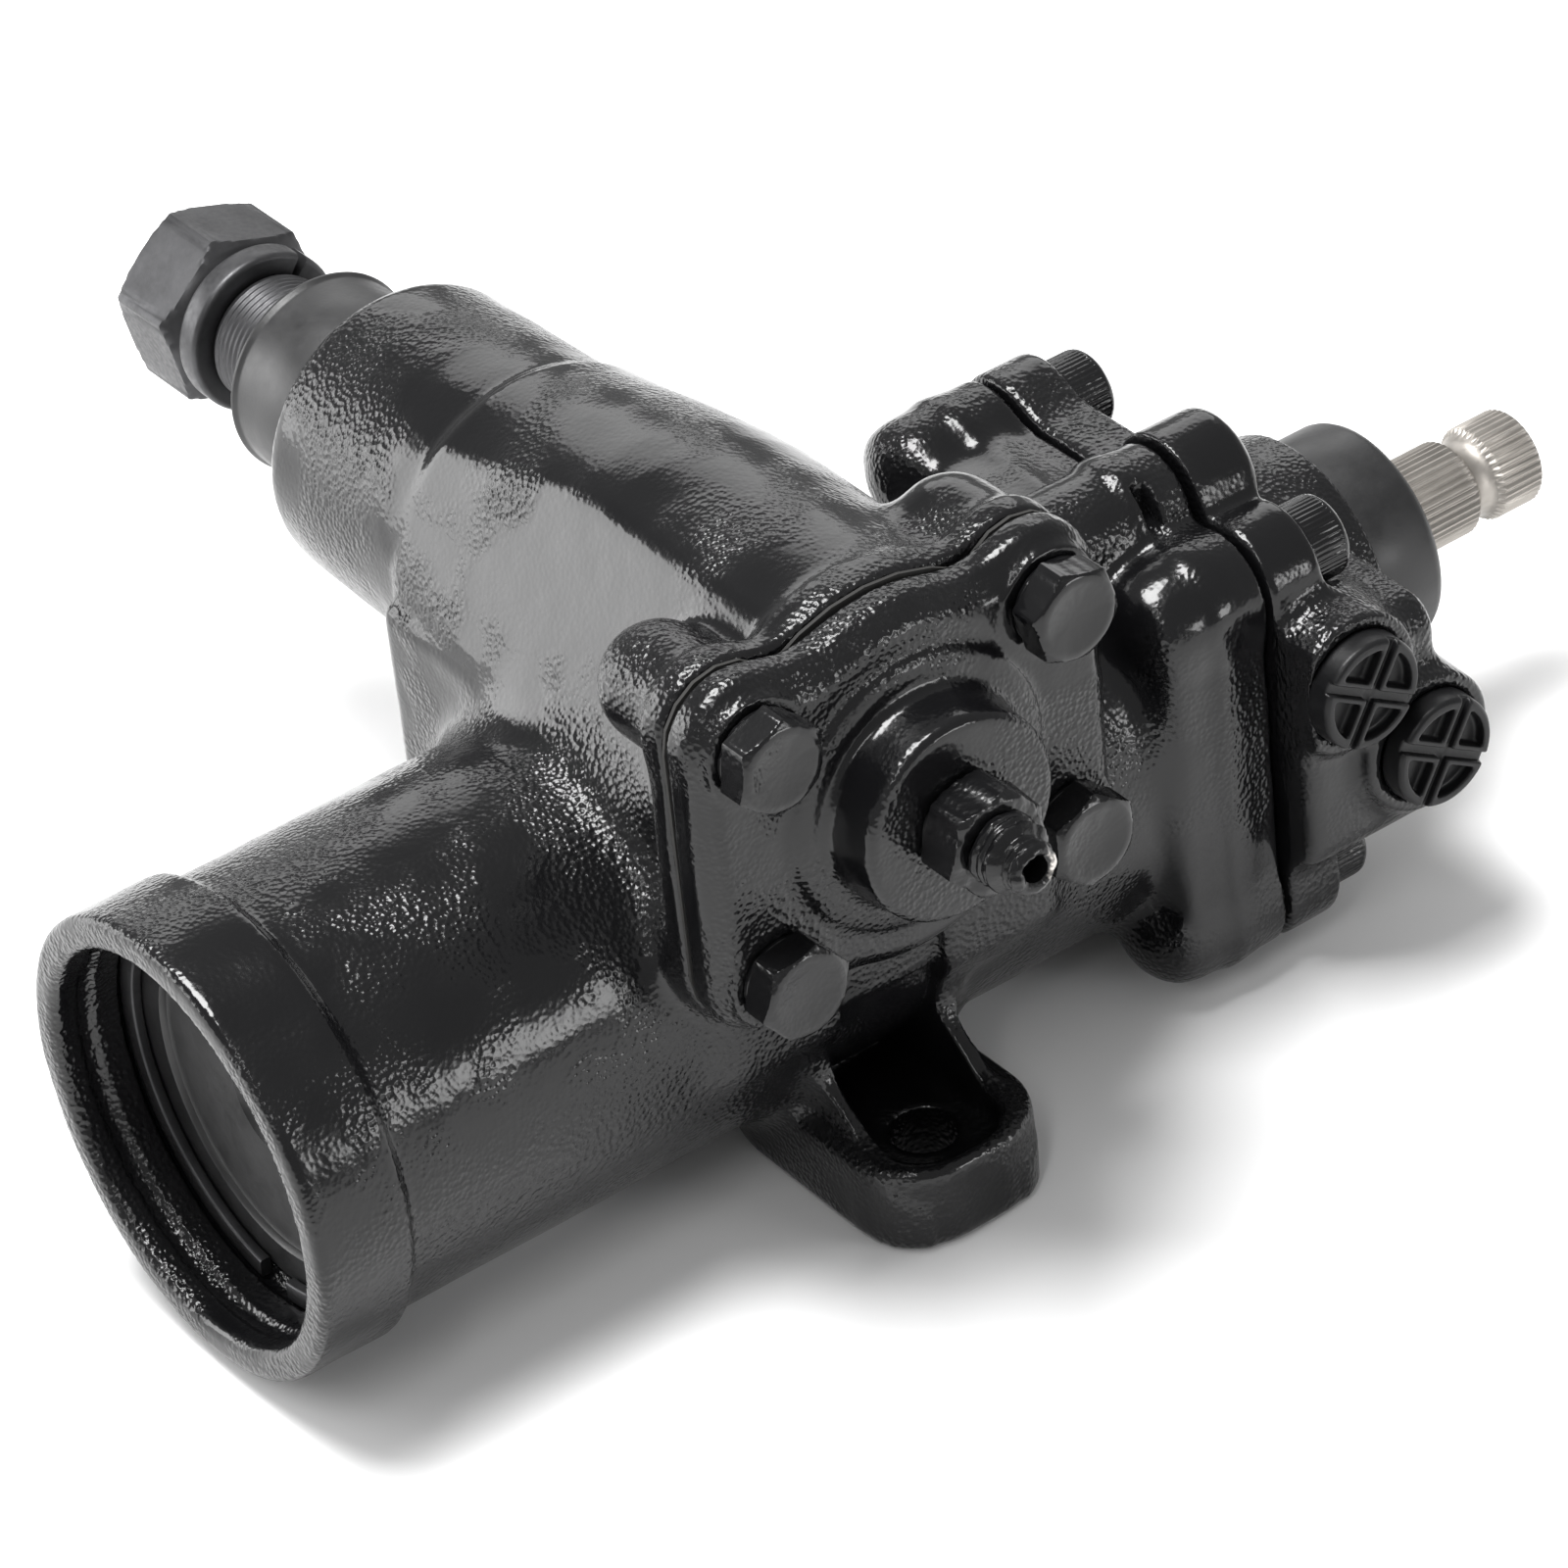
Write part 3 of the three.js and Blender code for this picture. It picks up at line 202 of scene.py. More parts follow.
def smooth_min(a, b, radius):
    """Union of two distances, with a fillet about as wide as radius."""
    if radius <= 0:
        return np.minimum(a, b)
    mix = np.maximum(radius - np.abs(a - b), 0) / radius
    return np.minimum(a, b) - mix * mix * (radius / 4)


def smooth_max(a, b, radius):
    """Intersection of two distances, with a rounded edge."""
    return -smooth_min(-a, -b, radius)


def cut(a, b, radius=0.0):
    """The first solid with the second taken away."""
    return smooth_max(a, -b, radius)


def flat_capsule(u, v, a, b, radius):
    """Flat distance to a slot outline with round ends."""
    du, dv = b[0] - a[0], b[1] - a[1]
    share = np.clip(((u - a[0]) * du + (v - a[1]) * dv) / (du * du + dv * dv), 0, 1)
    return np.sqrt((u - a[0] - share * du) ** 2 + (v - a[1] - share * dv) ** 2) - radius


def flat_box(u, v, middle, half, corner):
    """Flat distance to a rectangle with round corners."""
    pu = np.abs(u - middle[0]) - (half[0] - corner)
    pv = np.abs(v - middle[1]) - (half[1] - corner)
    outside = np.sqrt(np.maximum(pu, 0) ** 2 + np.maximum(pv, 0) ** 2)
    return outside + np.minimum(np.maximum(pu, pv), 0) - corner


CELL_CORNERS = [(i, j, k) for i in (0, 1) for j in (0, 1) for k in (0, 1)]
CELL_EDGES = [
    (a, b)
    for a in range(8)
    for b in range(a + 1, 8)
    if sum(abs(p - q) for p, q in zip(CELL_CORNERS[a], CELL_CORNERS[b])) == 1
]


def surface_of(field, values):
    """Vertices and quads of the zero surface, one vertex in each cell that it crosses."""
    values = np.ascontiguousarray(values, np.float32)
    inside = values < 0
    size = [n - 1 for n in values.shape]
    window = lambda array, c: array[c[0]:c[0] + size[0], c[1]:c[1] + size[1], c[2]:c[2] + size[2]]
    count = sum(window(inside, c).astype(np.uint8) for c in CELL_CORNERS)
    cells = np.argwhere((count > 0) & (count < 8))
    number = np.full(size, -1, np.int64)
    number[tuple(cells.T)] = np.arange(len(cells))
    corner_values = np.stack([values[tuple((cells + c).T)] for c in CELL_CORNERS], 1)
    total = np.zeros((len(cells), 3))
    hits = np.zeros(len(cells))
    for a, b in CELL_EDGES:
        va, vb = corner_values[:, a], corner_values[:, b]
        crossed = (va < 0) != (vb < 0)
        share = np.where(crossed, va / np.where(crossed, va - vb, 1), 0)[:, None]
        ca, cb = np.array(CELL_CORNERS[a]), np.array(CELL_CORNERS[b])
        total += np.where(crossed[:, None], ca + share * (cb - ca), 0)
        hits += crossed
    points = field.low + field.step * (cells + total / hits[:, None])
    quads = []
    for axis in range(3):
        u, v = [i for i in range(3) if i != axis]
        low = [slice(None)] * 3
        high = [slice(None)] * 3
        low[axis], high[axis] = slice(0, -1), slice(1, None)
        change = inside[tuple(low)] != inside[tuple(high)]
        at = np.argwhere(change)
        keep = (at[:, u] > 0) & (at[:, v] > 0) & (at[:, u] < size[u]) & (at[:, v] < size[v])
        at = at[keep]
        starts_inside = inside[tuple(at.T)]
        ring = []
        for du, dv in ((1, 1), (0, 1), (0, 0), (1, 0)):
            cell = at.copy()
            cell[:, u] -= du
            cell[:, v] -= dv
            ring.append(number[tuple(cell.T)])
        ring = np.stack(ring, 1)
        flip = starts_inside if axis != 1 else ~starts_inside
        ring[~flip] = ring[~flip][:, ::-1]
        quads.append(ring)
    return points, np.concatenate(quads)


def lattice_noise(points, size, seed):
    """Smooth value noise between -1 and 1, with lumps about size millimetres across."""
    table = np.random.RandomState(seed).uniform(-1, 1, (32, 32, 32))
    scaled = points / size
    base = np.floor(scaled).astype(int)
    share = scaled - base
    share = share * share * (3 - 2 * share)
    result = np.zeros(len(points))
    for corner in CELL_CORNERS:
        weight = np.ones(len(points))
        for i in range(3):
            weight *= share[:, i] if corner[i] else 1 - share[:, i]
        index = (base + corner) % 32
        result += weight * table[index[:, 0], index[:, 1], index[:, 2]]
    return result


# ---------------------------------------------------------------- mesh helpers
def new_piece(name, body, material, points, faces, node=None, smooth=True, sharp_deg=None):
    """A mesh from shaft-frame millimetres, riding on a body and standing for its CAD node."""
    mesh = bpy.data.meshes.new(name)
    places = np.asarray(points, float) * MM + np.array(AXES)
    mesh.from_pydata([tuple(p) for p in places], [], [tuple(f) for f in faces])
    mesh.validate()
    mesh.update()
    piece = bpy.data.objects.new(name, mesh)
    bpy.context.scene.collection.objects.link(piece)
    mesh.materials.append(material)
    for polygon in mesh.polygons:
        polygon.use_smooth = smooth
    if sharp_deg is not None:
        mark_sharp(mesh, sharp_deg)
    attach(piece, body)
    if node:
        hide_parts(node)
    return piece


def mark_sharp(mesh, degrees):
    """Edges that turn by more than an angle are drawn sharp."""
    made = bmesh.new()
    made.from_mesh(mesh)
    for edge in made.edges:
        edge.smooth = len(edge.link_faces) == 2 and edge.calc_face_angle() < math.radians(degrees)
    made.to_mesh(mesh)
    made.free()


def casting(name, body, node, material, field, values, lumps):
    """A cast piece from its distance field, with the low lumps of sand casting."""
    points, quads = surface_of(field, values)
    made = new_piece(name, body, material, points, quads, node)
    mesh = made.data
    normals = np.zeros(len(mesh.vertices) * 3, np.float32)
    mesh.vertex_normals.foreach_get("vector", normals)
    normals = normals.reshape(-1, 3)
    depth = sum(share * lattice_noise(points, size, seed) for share, size, seed in lumps)
    depth = depth - max(0.0, float(depth.max()))
    places = (points + normals * depth[:, None]) * MM + np.array(AXES)
    mesh.vertices.foreach_set("co", places.astype(np.float32).ravel())
    mesh.update()
    return made


# ---------------------------------------------------------------- materials
def shader(name, base, roughness, metallic=0.0, specular=0.5):
    """A new material, with its nodes, links and Principled shader."""
    material = bpy.data.materials.new(name)
    material.use_nodes = True
    nodes = material.node_tree.nodes
    surface = nodes["Principled BSDF"]
    surface.inputs["Base Color"].default_value = (*base, 1)
    surface.inputs["Roughness"].default_value = roughness
    surface.inputs["Metallic"].default_value = metallic
    surface.inputs["Specular IOR Level"].default_value = specular
    return material, nodes, material.node_tree.links, surface


def noise_node(nodes, links, places, scale, detail=3.0, roughness=0.55):
    made = nodes.new("ShaderNodeTexNoise")
    made.inputs["Scale"].default_value = scale
    made.inputs["Detail"].default_value = detail
    made.inputs["Roughness"].default_value = roughness
    links.new(places.outputs["Object"], made.inputs["Vector"])
    return made


def remap(nodes, links, source, low, high, out_low, out_high):
    made = nodes.new("ShaderNodeMapRange")
    made.inputs["From Min"].default_value = low
    made.inputs["From Max"].default_value = high
    made.inputs["To Min"].default_value = out_low
    made.inputs["To Max"].default_value = out_high
    links.new(source, made.inputs["Value"])
    return made.outputs["Result"]


def colour_mix(nodes, links, factor, first, second):
    made = nodes.new("ShaderNodeMix")
    made.data_type = "RGBA"
    made.inputs["A"].default_value = (*first, 1)
    made.inputs["B"].default_value = (*second, 1)
    links.new(factor, made.inputs["Factor"])
    return made.outputs["Result"]


def maths(nodes, links, operation, *values):
    """Output of a Math node; each value is a number or another node's output."""
    made = nodes.new("ShaderNodeMath")
    made.operation = operation
    for socket, value in zip(made.inputs, values):
        if isinstance(value, float):
            socket.default_value = value
        else:
            links.new(value, socket)
    return made.outputs[0]


def bump_chain(nodes, links, surface, layers):
    """Bumps in a row: each layer is (height output, distance in metres, strength)."""
    normal = None
    for height, distance, strength in layers:
        bump = nodes.new("ShaderNodeBump")
        bump.inputs["Strength"].default_value = strength
        bump.inputs["Distance"].default_value = distance
        links.new(height, bump.inputs["Height"])
        if normal is not None:
            links.new(normal, bump.inputs["Normal"])
        normal = bump.outputs["Normal"]
    links.new(normal, surface.inputs["Normal"])


def cast_paint(name="cast_black_paint", pebble=1.0):
    """Gloss black enamel over sand-cast iron: pebbles and grit in patches, and fine orange peel."""
    material, nodes, links, surface = shader(name, (0.005, 0.005, 0.0055), 0.2, specular=0.42)
    places = nodes.new("ShaderNodeTexCoord")
    patches = noise_node(nodes, links, places, 38.0, 2.0)
    split = nodes.new("ShaderNodeSeparateXYZ")
    links.new(places.outputs["Object"], split.inputs[0])
    rougher_below = remap(nodes, links, split.outputs["Z"], 0.078, 0.1, 0.07, 0.0)
    raised = maths(nodes, links, "ADD", patches.outputs["Fac"], rougher_below)
    patch = remap(nodes, links, raised, 0.46, 0.6, 0.12, 1.0)
    pebbles = nodes.new("ShaderNodeTexVoronoi")
    pebbles.feature = "SMOOTH_F1"
    pebbles.inputs["Scale"].default_value = 980.0
    pebbles.inputs["Smoothness"].default_value = 0.55
    links.new(places.outputs["Object"], pebbles.inputs["Vector"])
    grit = noise_node(nodes, links, places, 1700.0, 3.0, 0.6)
    peel = noise_node(nodes, links, places, 260.0, 2.0, 0.5)
    weighted = maths(nodes, links, "MULTIPLY", pebbles.outputs["Distance"], patch)
    gritty = maths(nodes, links, "MULTIPLY", grit.outputs["Fac"], patch)
    bump_chain(nodes, links, surface, [
        (peel.outputs["Fac"], 0.0006, 0.1),
        (weighted, 0.00055, 0.55 * pebble),
        (gritty, 0.00016, 0.25 * pebble),
    ])
    links.new(remap(nodes, links, patches.outputs["Fac"], 0.3, 0.7, 0.13, 0.24), surface.inputs["Roughness"])
    links.new(
        colour_mix(nodes, links, patch, (0.0042, 0.0042, 0.0047), (0.0065, 0.0065, 0.007)),
        surface.inputs["Base Color"],
    )
    return material


def satin_black(name, base, low, high, bump_scale=1400.0, bump=0.12, specular=0.5):
    """Satin finish with fine handling marks."""
    material, nodes, links, surface = shader(name, base, (low + high) / 2, specular=specular)
    places = nodes.new("ShaderNodeTexCoord")
    marks = noise_node(nodes, links, places, 160.0, 5.0, 0.65)
    grain = noise_node(nodes, links, places, bump_scale, 3.0)
    links.new(remap(nodes, links, marks.outputs["Fac"], 0.3, 0.7, low, high), surface.inputs["Roughness"])
    shade = tuple(c * 1.5 for c in base)
    tone = remap(nodes, links, marks.outputs["Fac"], 0.35, 0.7, 0.0, 1.0)
    links.new(colour_mix(nodes, links, tone, base, shade), surface.inputs["Base Color"])
    bump_chain(nodes, links, surface, [(grain.outputs["Fac"], 0.0002, bump)])
    return material


def metal(name, base, dark, low, high, metallic=1.0, scratch=0.15, stretch=(1, 1, 1)):
    """Machined or coated steel, with a tone that varies and fine turning marks."""
    material, nodes, links, surface = shader(name, base, (low + high) / 2, metallic=metallic)
    places = nodes.new("ShaderNodeTexCoord")
    mapping = nodes.new("ShaderNodeMapping")
    mapping.inputs["Scale"].default_value = stretch
    links.new(places.outputs["Object"], mapping.inputs["Vector"])
    tone = noise_node(nodes, links, places, 90.0, 5.0, 0.6)
    fine = nodes.new("ShaderNodeTexNoise")
    fine.inputs["Scale"].default_value = 900.0
    fine.inputs["Detail"].default_value = 4.0
    links.new(mapping.outputs["Vector"], fine.inputs["Vector"])
    share = remap(nodes, links, tone.outputs["Fac"], 0.35, 0.68, 0.0, 1.0)
    links.new(colour_mix(nodes, links, share, base, dark), surface.inputs["Base Color"])
    links.new(remap(nodes, links, fine.outputs["Fac"], 0.3, 0.7, low, high), surface.inputs["Roughness"])
    bump_chain(nodes, links, surface, [(fine.outputs["Fac"], 0.00015, scratch)])
    return material


def worn_stud():
    """Painted steel, rubbed bare on one side of its tip."""
    painted, rubbed = (0.005, 0.005, 0.0055), (0.6, 0.57, 0.54)
    sideways, ragged = -0.45, 0.003
    material, nodes, links, surface = shader("worn_stud_steel", painted, 0.2, specular=0.4)
    places = nodes.new("ShaderNodeTexCoord")
    split = nodes.new("ShaderNodeSeparateXYZ")
    links.new(places.outputs["Object"], split.inputs[0])
    chips = noise_node(nodes, links, places, 900.0, 3.0)
    aside = maths(nodes, links, "MULTIPLY_ADD", split.outputs["X"], sideways, split.outputs["Y"])
    edge = maths(nodes, links, "MULTIPLY_ADD", chips.outputs["Fac"], ragged, aside)
    tip = AXES.y + node_span("lash_adjuster_screw", 1)[0] * MM + sideways * (AXES.x + SECTOR_X * MM)
    bare = remap(nodes, links, edge, tip + 0.0002, tip + 0.001, 1.0, 0.0)
    links.new(bare, surface.inputs["Metallic"])
    links.new(colour_mix(nodes, links, bare, painted, rubbed), surface.inputs["Base Color"])
    bump_chain(nodes, links, surface, [(chips.outputs["Fac"], 0.0003, 0.3)])
    return material


PAINT = cast_paint()
BOLT_PAINT = cast_paint("bolt_black_paint", 0.35)
SATIN = satin_black("satin_black_coat", (0.012, 0.012, 0.0125), 0.34, 0.5)
RUBBER = satin_black("black_rubber", (0.016, 0.016, 0.016), 0.55, 0.75, 700.0, 0.25)
PLASTIC = satin_black("moulded_black_plastic", (0.006, 0.006, 0.0065), 0.3, 0.46, 900.0, 0.15, 0.28)
GASKET = satin_black("gasket_fibre", (0.018, 0.0175, 0.0165), 0.7, 0.9, 1800.0, 0.4)
PHOSPHATE = metal("dark_phosphate_steel", (0.075, 0.075, 0.078), (0.045, 0.045, 0.047), 0.36, 0.52, 0.75)
BRIGHT = metal(
    "bare_machined_steel", (0.41, 0.385, 0.355), (0.34, 0.32, 0.295), 0.4, 0.55, 0.9, 0.2, (0.2, 1, 1)
)
BEARING = metal("ground_steel", (0.55, 0.55, 0.56), (0.42, 0.42, 0.44), 0.14, 0.3)
BRONZE = metal("bearing_bronze", (0.45, 0.27, 0.11), (0.32, 0.19, 0.08), 0.28, 0.45)
PTFE = satin_black("seal_plastic", (0.16, 0.11, 0.06), 0.4, 0.6)
WORN_STUD = worn_stud()


# ---------------------------------------------------------------- gear housing
def cover_outline(u, v):
    """Flat distance to the side cover's outline: a disc, and an upright slot round each pair of bolts."""
    outline = np.sqrt((u - SECTOR_X) ** 2 + (v - SECTOR_Z) ** 2) - COVER_R
    for side in (-1, 1):
        x = SECTOR_X + side * BOLT_DX
        edge = flat_capsule(u, v, (x, SECTOR_Z - BOLT_DZ), (x, SECTOR_Z + BOLT_DZ), COVER_LOBE_R)
        outline = smooth_min(outline, edge, 11.0)
    middle = flat_box(u, v, (SECTOR_X, SECTOR_Z - 2), (BOLT_DX, 31.0), 2.0)
    return smooth_min(outline, middle, 3.0)


def valve_outline(u, v):
    """Flat distance to the valve flange's outline: a plate, four screw lobes and a crest."""
    outline = flat_box(u, v, (-2.0, 0), (43.4, 42.0), 10.0)
    for y, z in VALVE_SCREWS:
        outline = smooth_min(outline, np.sqrt((u - y) ** 2 + (v - z) ** 2) - SCREW_LOBE_R, 5.0)
    crest = np.sqrt((u - CREST[0]) ** 2 + (v - CREST[1]) ** 2) - SCREW_LOBE_R
    return smooth_min(outline, crest, 4.0)


def gear_casting():
    """Barrel, sector tower and tube, valve flange, and the front and rear feet, as one casting."""
    f = Field(
        (MOUTH_X - 2, -74, FOOT_Z - 2), (SEAM_X + 2, TUBE_END_Y + 2, 88), 1.0
    )
    origin = (0, 0, 0)
    face_x = SEAM_X - 0.05
    barrel = f.turned(0, origin, [
        (MOUTH_X, COLLAR_R), (COLLAR_END_X - 1, COLLAR_R),
        (COLLAR_END_X + 1.2, BARREL_R), (SPIGOT_X, BARREL_R),
    ], 2.0)
    tube = f.turned(1, SECTOR, [
        (COVER_FACE_Y + 2, COVER_R), (8, 38.4), (17, 38), (31, 36.3), (44, 34.4), (TOWER_BACK_Y - 1.5, 33.2),
        (TOWER_BACK_Y + 1.5, 31.7), (72, 31), (87, 30.6), (TUBE_END_Y, 30.1),
    ], 5.0)
    beyond = TOWER_BACK_Y - f.y
    tower = np.maximum(tube, np.minimum(f.half((-1, 0, 0), (TOWER_FLAT_X, 0, 0)), beyond))
    skirt = f.block((TOWER_FLAT_X, COVER_FACE_Y + 2, -8), (SECTOR_X + 36, TOWER_BACK_Y, SECTOR_Z), 3.0)
    tower = smooth_min(tower, skirt, 2.0)
    lean = (TOWER_FLAT_TOP[0] - TOWER_FLAT_FOOT[0], TOWER_FLAT_TOP[1] - TOWER_FLAT_FOOT[1])
    flat_side = f.half((-lean[1], 0, lean[0]), (TOWER_FLAT_TOP[0], 0, TOWER_FLAT_TOP[1]))
    tower = smooth_max(tower, smooth_min(flat_side, TOWER_BACK_Y + 8 - f.y, 6.0), 1.8)
    body = smooth_min(barrel, tower, 9.0)

    lip = f.slab(1, cover_outline(f.x, f.z), COVER_FACE_Y, COVER_FACE_Y + LIP_T, 1.6)
    body = smooth_min(body, lip, 5.0)
    for x, z in COVER_BOLTS:
        bulge = f.bar((x, COVER_FACE_Y + 12, z), (x, -30, z), 11.5)
        body = smooth_min(body, bulge, 6.0)

    block = f.slab(0, flat_box(f.y, f.z, (0, 0), (45.4, 42.0), 8.5), 52, 68, 4.0)
    block = smooth_min(block, f.slab(0, valve_outline(f.y, f.z), 64, face_x, 1.2), 4.0)
    for y, z in VALVE_SCREWS:
        start = 66.0 if y < 0 and z > 0 else 58.0
        block = smooth_min(block, f.bar((start, y, z), (SEAM_X - 14, y, z), SCREW_LOBE_R - 0.2), 4.0)
    block = smooth_min(block, f.bar((42, *CREST), (SEAM_X - 12, *CREST), SCREW_LOBE_R), 4.0)
    body = smooth_min(body, block, 6.0)
    notch = f.block((64.5, CREST[0] - 16, CREST[1] + 2), (67.3, CREST[0] - 5.5, CREST[1] + 20), 1.0)
    body = cut(body, notch, 1.2)

    footprint = flat_box(f.x, f.y, (LUG[0], -37.2), (19.0, 30.2), 15.0)
    base = f.slab(2, footprint, FOOT_Z, -30, 3.0)
    slope = f.half((0, -0.85, 1), (0, -54, -30))
    ribs = np.maximum(np.abs(np.abs(f.x - (LUG[0] - 1)) - 13.4) - 1.9, slope)
    ribs = np.maximum(np.maximum(ribs, footprint), FOOT_Z + 2 - f.z)
    lug = smooth_min(base, ribs, 3.0)
    well = flat_box(f.x, f.y, (LUG[0] - 1, -30.2), (11.6, 33.4), 9.0)
    well = smooth_max(well, np.maximum(-35.5 - f.z, f.z - 14), 3.0)
    body = smooth_min(body, lug, 7.0)
    keep_barrel = np.minimum(barrel, tower) + 1.5
    body = np.minimum(cut(body, well, 1.6), np.maximum(keep_barrel, body))
    for x, y in REAR_LUGS:
        foot = f.slab(2, flat_capsule(f.x, f.y, (x, y), (x, 10), REAR_LUG_R), FOOT_Z, FOOT_Z + 18, 2.0)
        rib = f.block((x - 3, 20, FOOT_Z + 16), (x + 3, y - 6, -12), 1.5)
        body = smooth_min(body, smooth_min(foot, rib, 4.0), 5.0)
    body = np.maximum(body, f.x - face_x)
    ahead_of_cover_face = COVER_FACE_Y - f.y - np.where(f.z < 6, 60, 0)
    body = np.maximum(body, ahead_of_cover_face)

    bore = f.turned(0, origin, [
        (MOUTH_X - 3, MOUTH_R + 1.4), (MOUTH_X, MOUTH_R + 1.2),
        (MOUTH_X + 1.4, MOUTH_R), (MOUTH_X + 5.2, MOUTH_R),
        (MOUTH_X + 5.6, MOUTH_R + 1.1), (MOUTH_X + 8, MOUTH_R + 1.1), (MOUTH_X + 8.4, MOUTH_R),
        (-125.4, MOUTH_R), (-125.0, MOUTH_R + 2), (-122.2, MOUTH_R + 2), (-121.8, MOUTH_R),
        (-113.6, MOUTH_R), (-113.2, BORE_R), (SEAM_X + 4, BORE_R),
    ])
    cavity = np.maximum(f.rod(1, SECTOR, 31, COVER_FACE_Y - 4, 23), SECTOR_X - 29 - f.x)
    cavity = np.maximum(cavity, np.minimum(flat_side + 6, f.y - COVER_FACE_Y - LIP_T))
    holes = [
        bore,
        cavity,
        f.turned(1, SECTOR, [
            (18, 19.8), (47, 19.8), (47.4, 16.8), (69.6, 16.8), (70, 19.8), (88.4, 19.8), (88.8, 20.6),
            (TUBE_END_Y - 0.8, 20.6), (TUBE_END_Y + 4, 22.6),
        ]),
    ]
    for x, y in ((LUG[0], LUG[1] + 2), *REAR_LUGS):
        ridges = FRAME_HOLE_R + 0.35 * np.abs(((f.z / 1.75) % 1) * 2 - 1)
        holes.append(np.maximum(f.across(2, (x, y, 0)) - ridges, np.abs(f.z - FOOT_Z) - 24))
    for x, z in COVER_BOLTS:
        holes.append(f.rod(1, (x, 0, z), TAPPED_HOLE_R, COVER_FACE_Y - 4, -35.5))
    for y, z in VALVE_SCREWS:
        holes.append(f.rod(0, (0, y, z), TAPPED_HOLE_R, 58, SEAM_X + 4))
    for hole in holes:
        body = np.maximum(body, -hole)
    for axis in (0, 2):
        low, high = node_span("gear_housing", axis)
        body = np.maximum(body, np.maximum(low - f.axes[axis], f.axes[axis] - high))
    lumps = [(0.14, 12.0, 3), (0.05, 4.5, 4)]
    return casting("gear_housing_casting", "housing", "gear_housing", PAINT, f, body, lumps)


# ---------------------------------------------------------------- side cover
def cover_casting():
    """The side cover: a plate with a sloped edge, a round pad, the adjuster boss and four bolt seats."""
    f = Field(
        (SECTOR_X - 47, BOSS_END_Y - 1.5, SECTOR_Z - 40),
        (SECTOR_X + 47, COVER_BACK_Y + 1.5, SECTOR_Z + 42),
        0.6,
    )
    outline = cover_outline(f.x, f.z)
    plate = f.slab(1, outline, COVER_FRONT_Y, COVER_BACK_Y, 1.8)
    plate = smooth_max(plate, (outline + 4.2 - (f.y - COVER_FRONT_Y)) / 1.414, 1.2)
    plate = np.maximum(plate, f.y - COVER_BACK_Y)
    pad = f.turned(1, SECTOR, [
        (COVER_FRONT_Y - 2.0, 25.0), (COVER_FRONT_Y - 1.2, 26.6), (COVER_FRONT_Y + 4, 27.2),
    ], 1.2)
    boss = f.turned(1, SECTOR, [
        (BOSS_END_Y, BOSS_R - 0.6), (BOSS_END_Y + 1.6, BOSS_R), (COVER_FRONT_Y, BOSS_R + 0.8),
        (COVER_BACK_Y - 2, BOSS_R + 1),
    ], 1.6)
    body = smooth_min(smooth_min(plate, pad, 3.0), boss, 2.6)
    for x, z in COVER_BOLTS:
        seat = f.rod(1, (x, 0, z), 10.4, COVER_FRONT_Y - 0.15, COVER_FRONT_Y + 3, 0.8)
        body = smooth_min(body, seat, 1.2)
        body = np.maximum(body, -f.rod(1, (x, 0, z), 10.4, BOSS_END_Y - 5, COVER_FRONT_Y - 0.15))
    hole = f.turned(1, SECTOR, [
        (BOSS_END_Y - 4, 5.8), (-65.8, 5.8), (-65.2, 17.8), (COVER_BACK_Y + 3, 17.8),
    ])
    body = np.maximum(body, -hole)
    for x, z in COVER_BOLTS:
        body = np.maximum(body, -f.rod(1, (x, 0, z), 5.2, BOSS_END_Y - 5, COVER_BACK_Y + 3))
    lumps = [(0.12, 9.0, 13), (0.05, 3.6, 14)]
    return casting("side_cover_casting", "housing", "side_cover", PAINT, f, body, lumps)


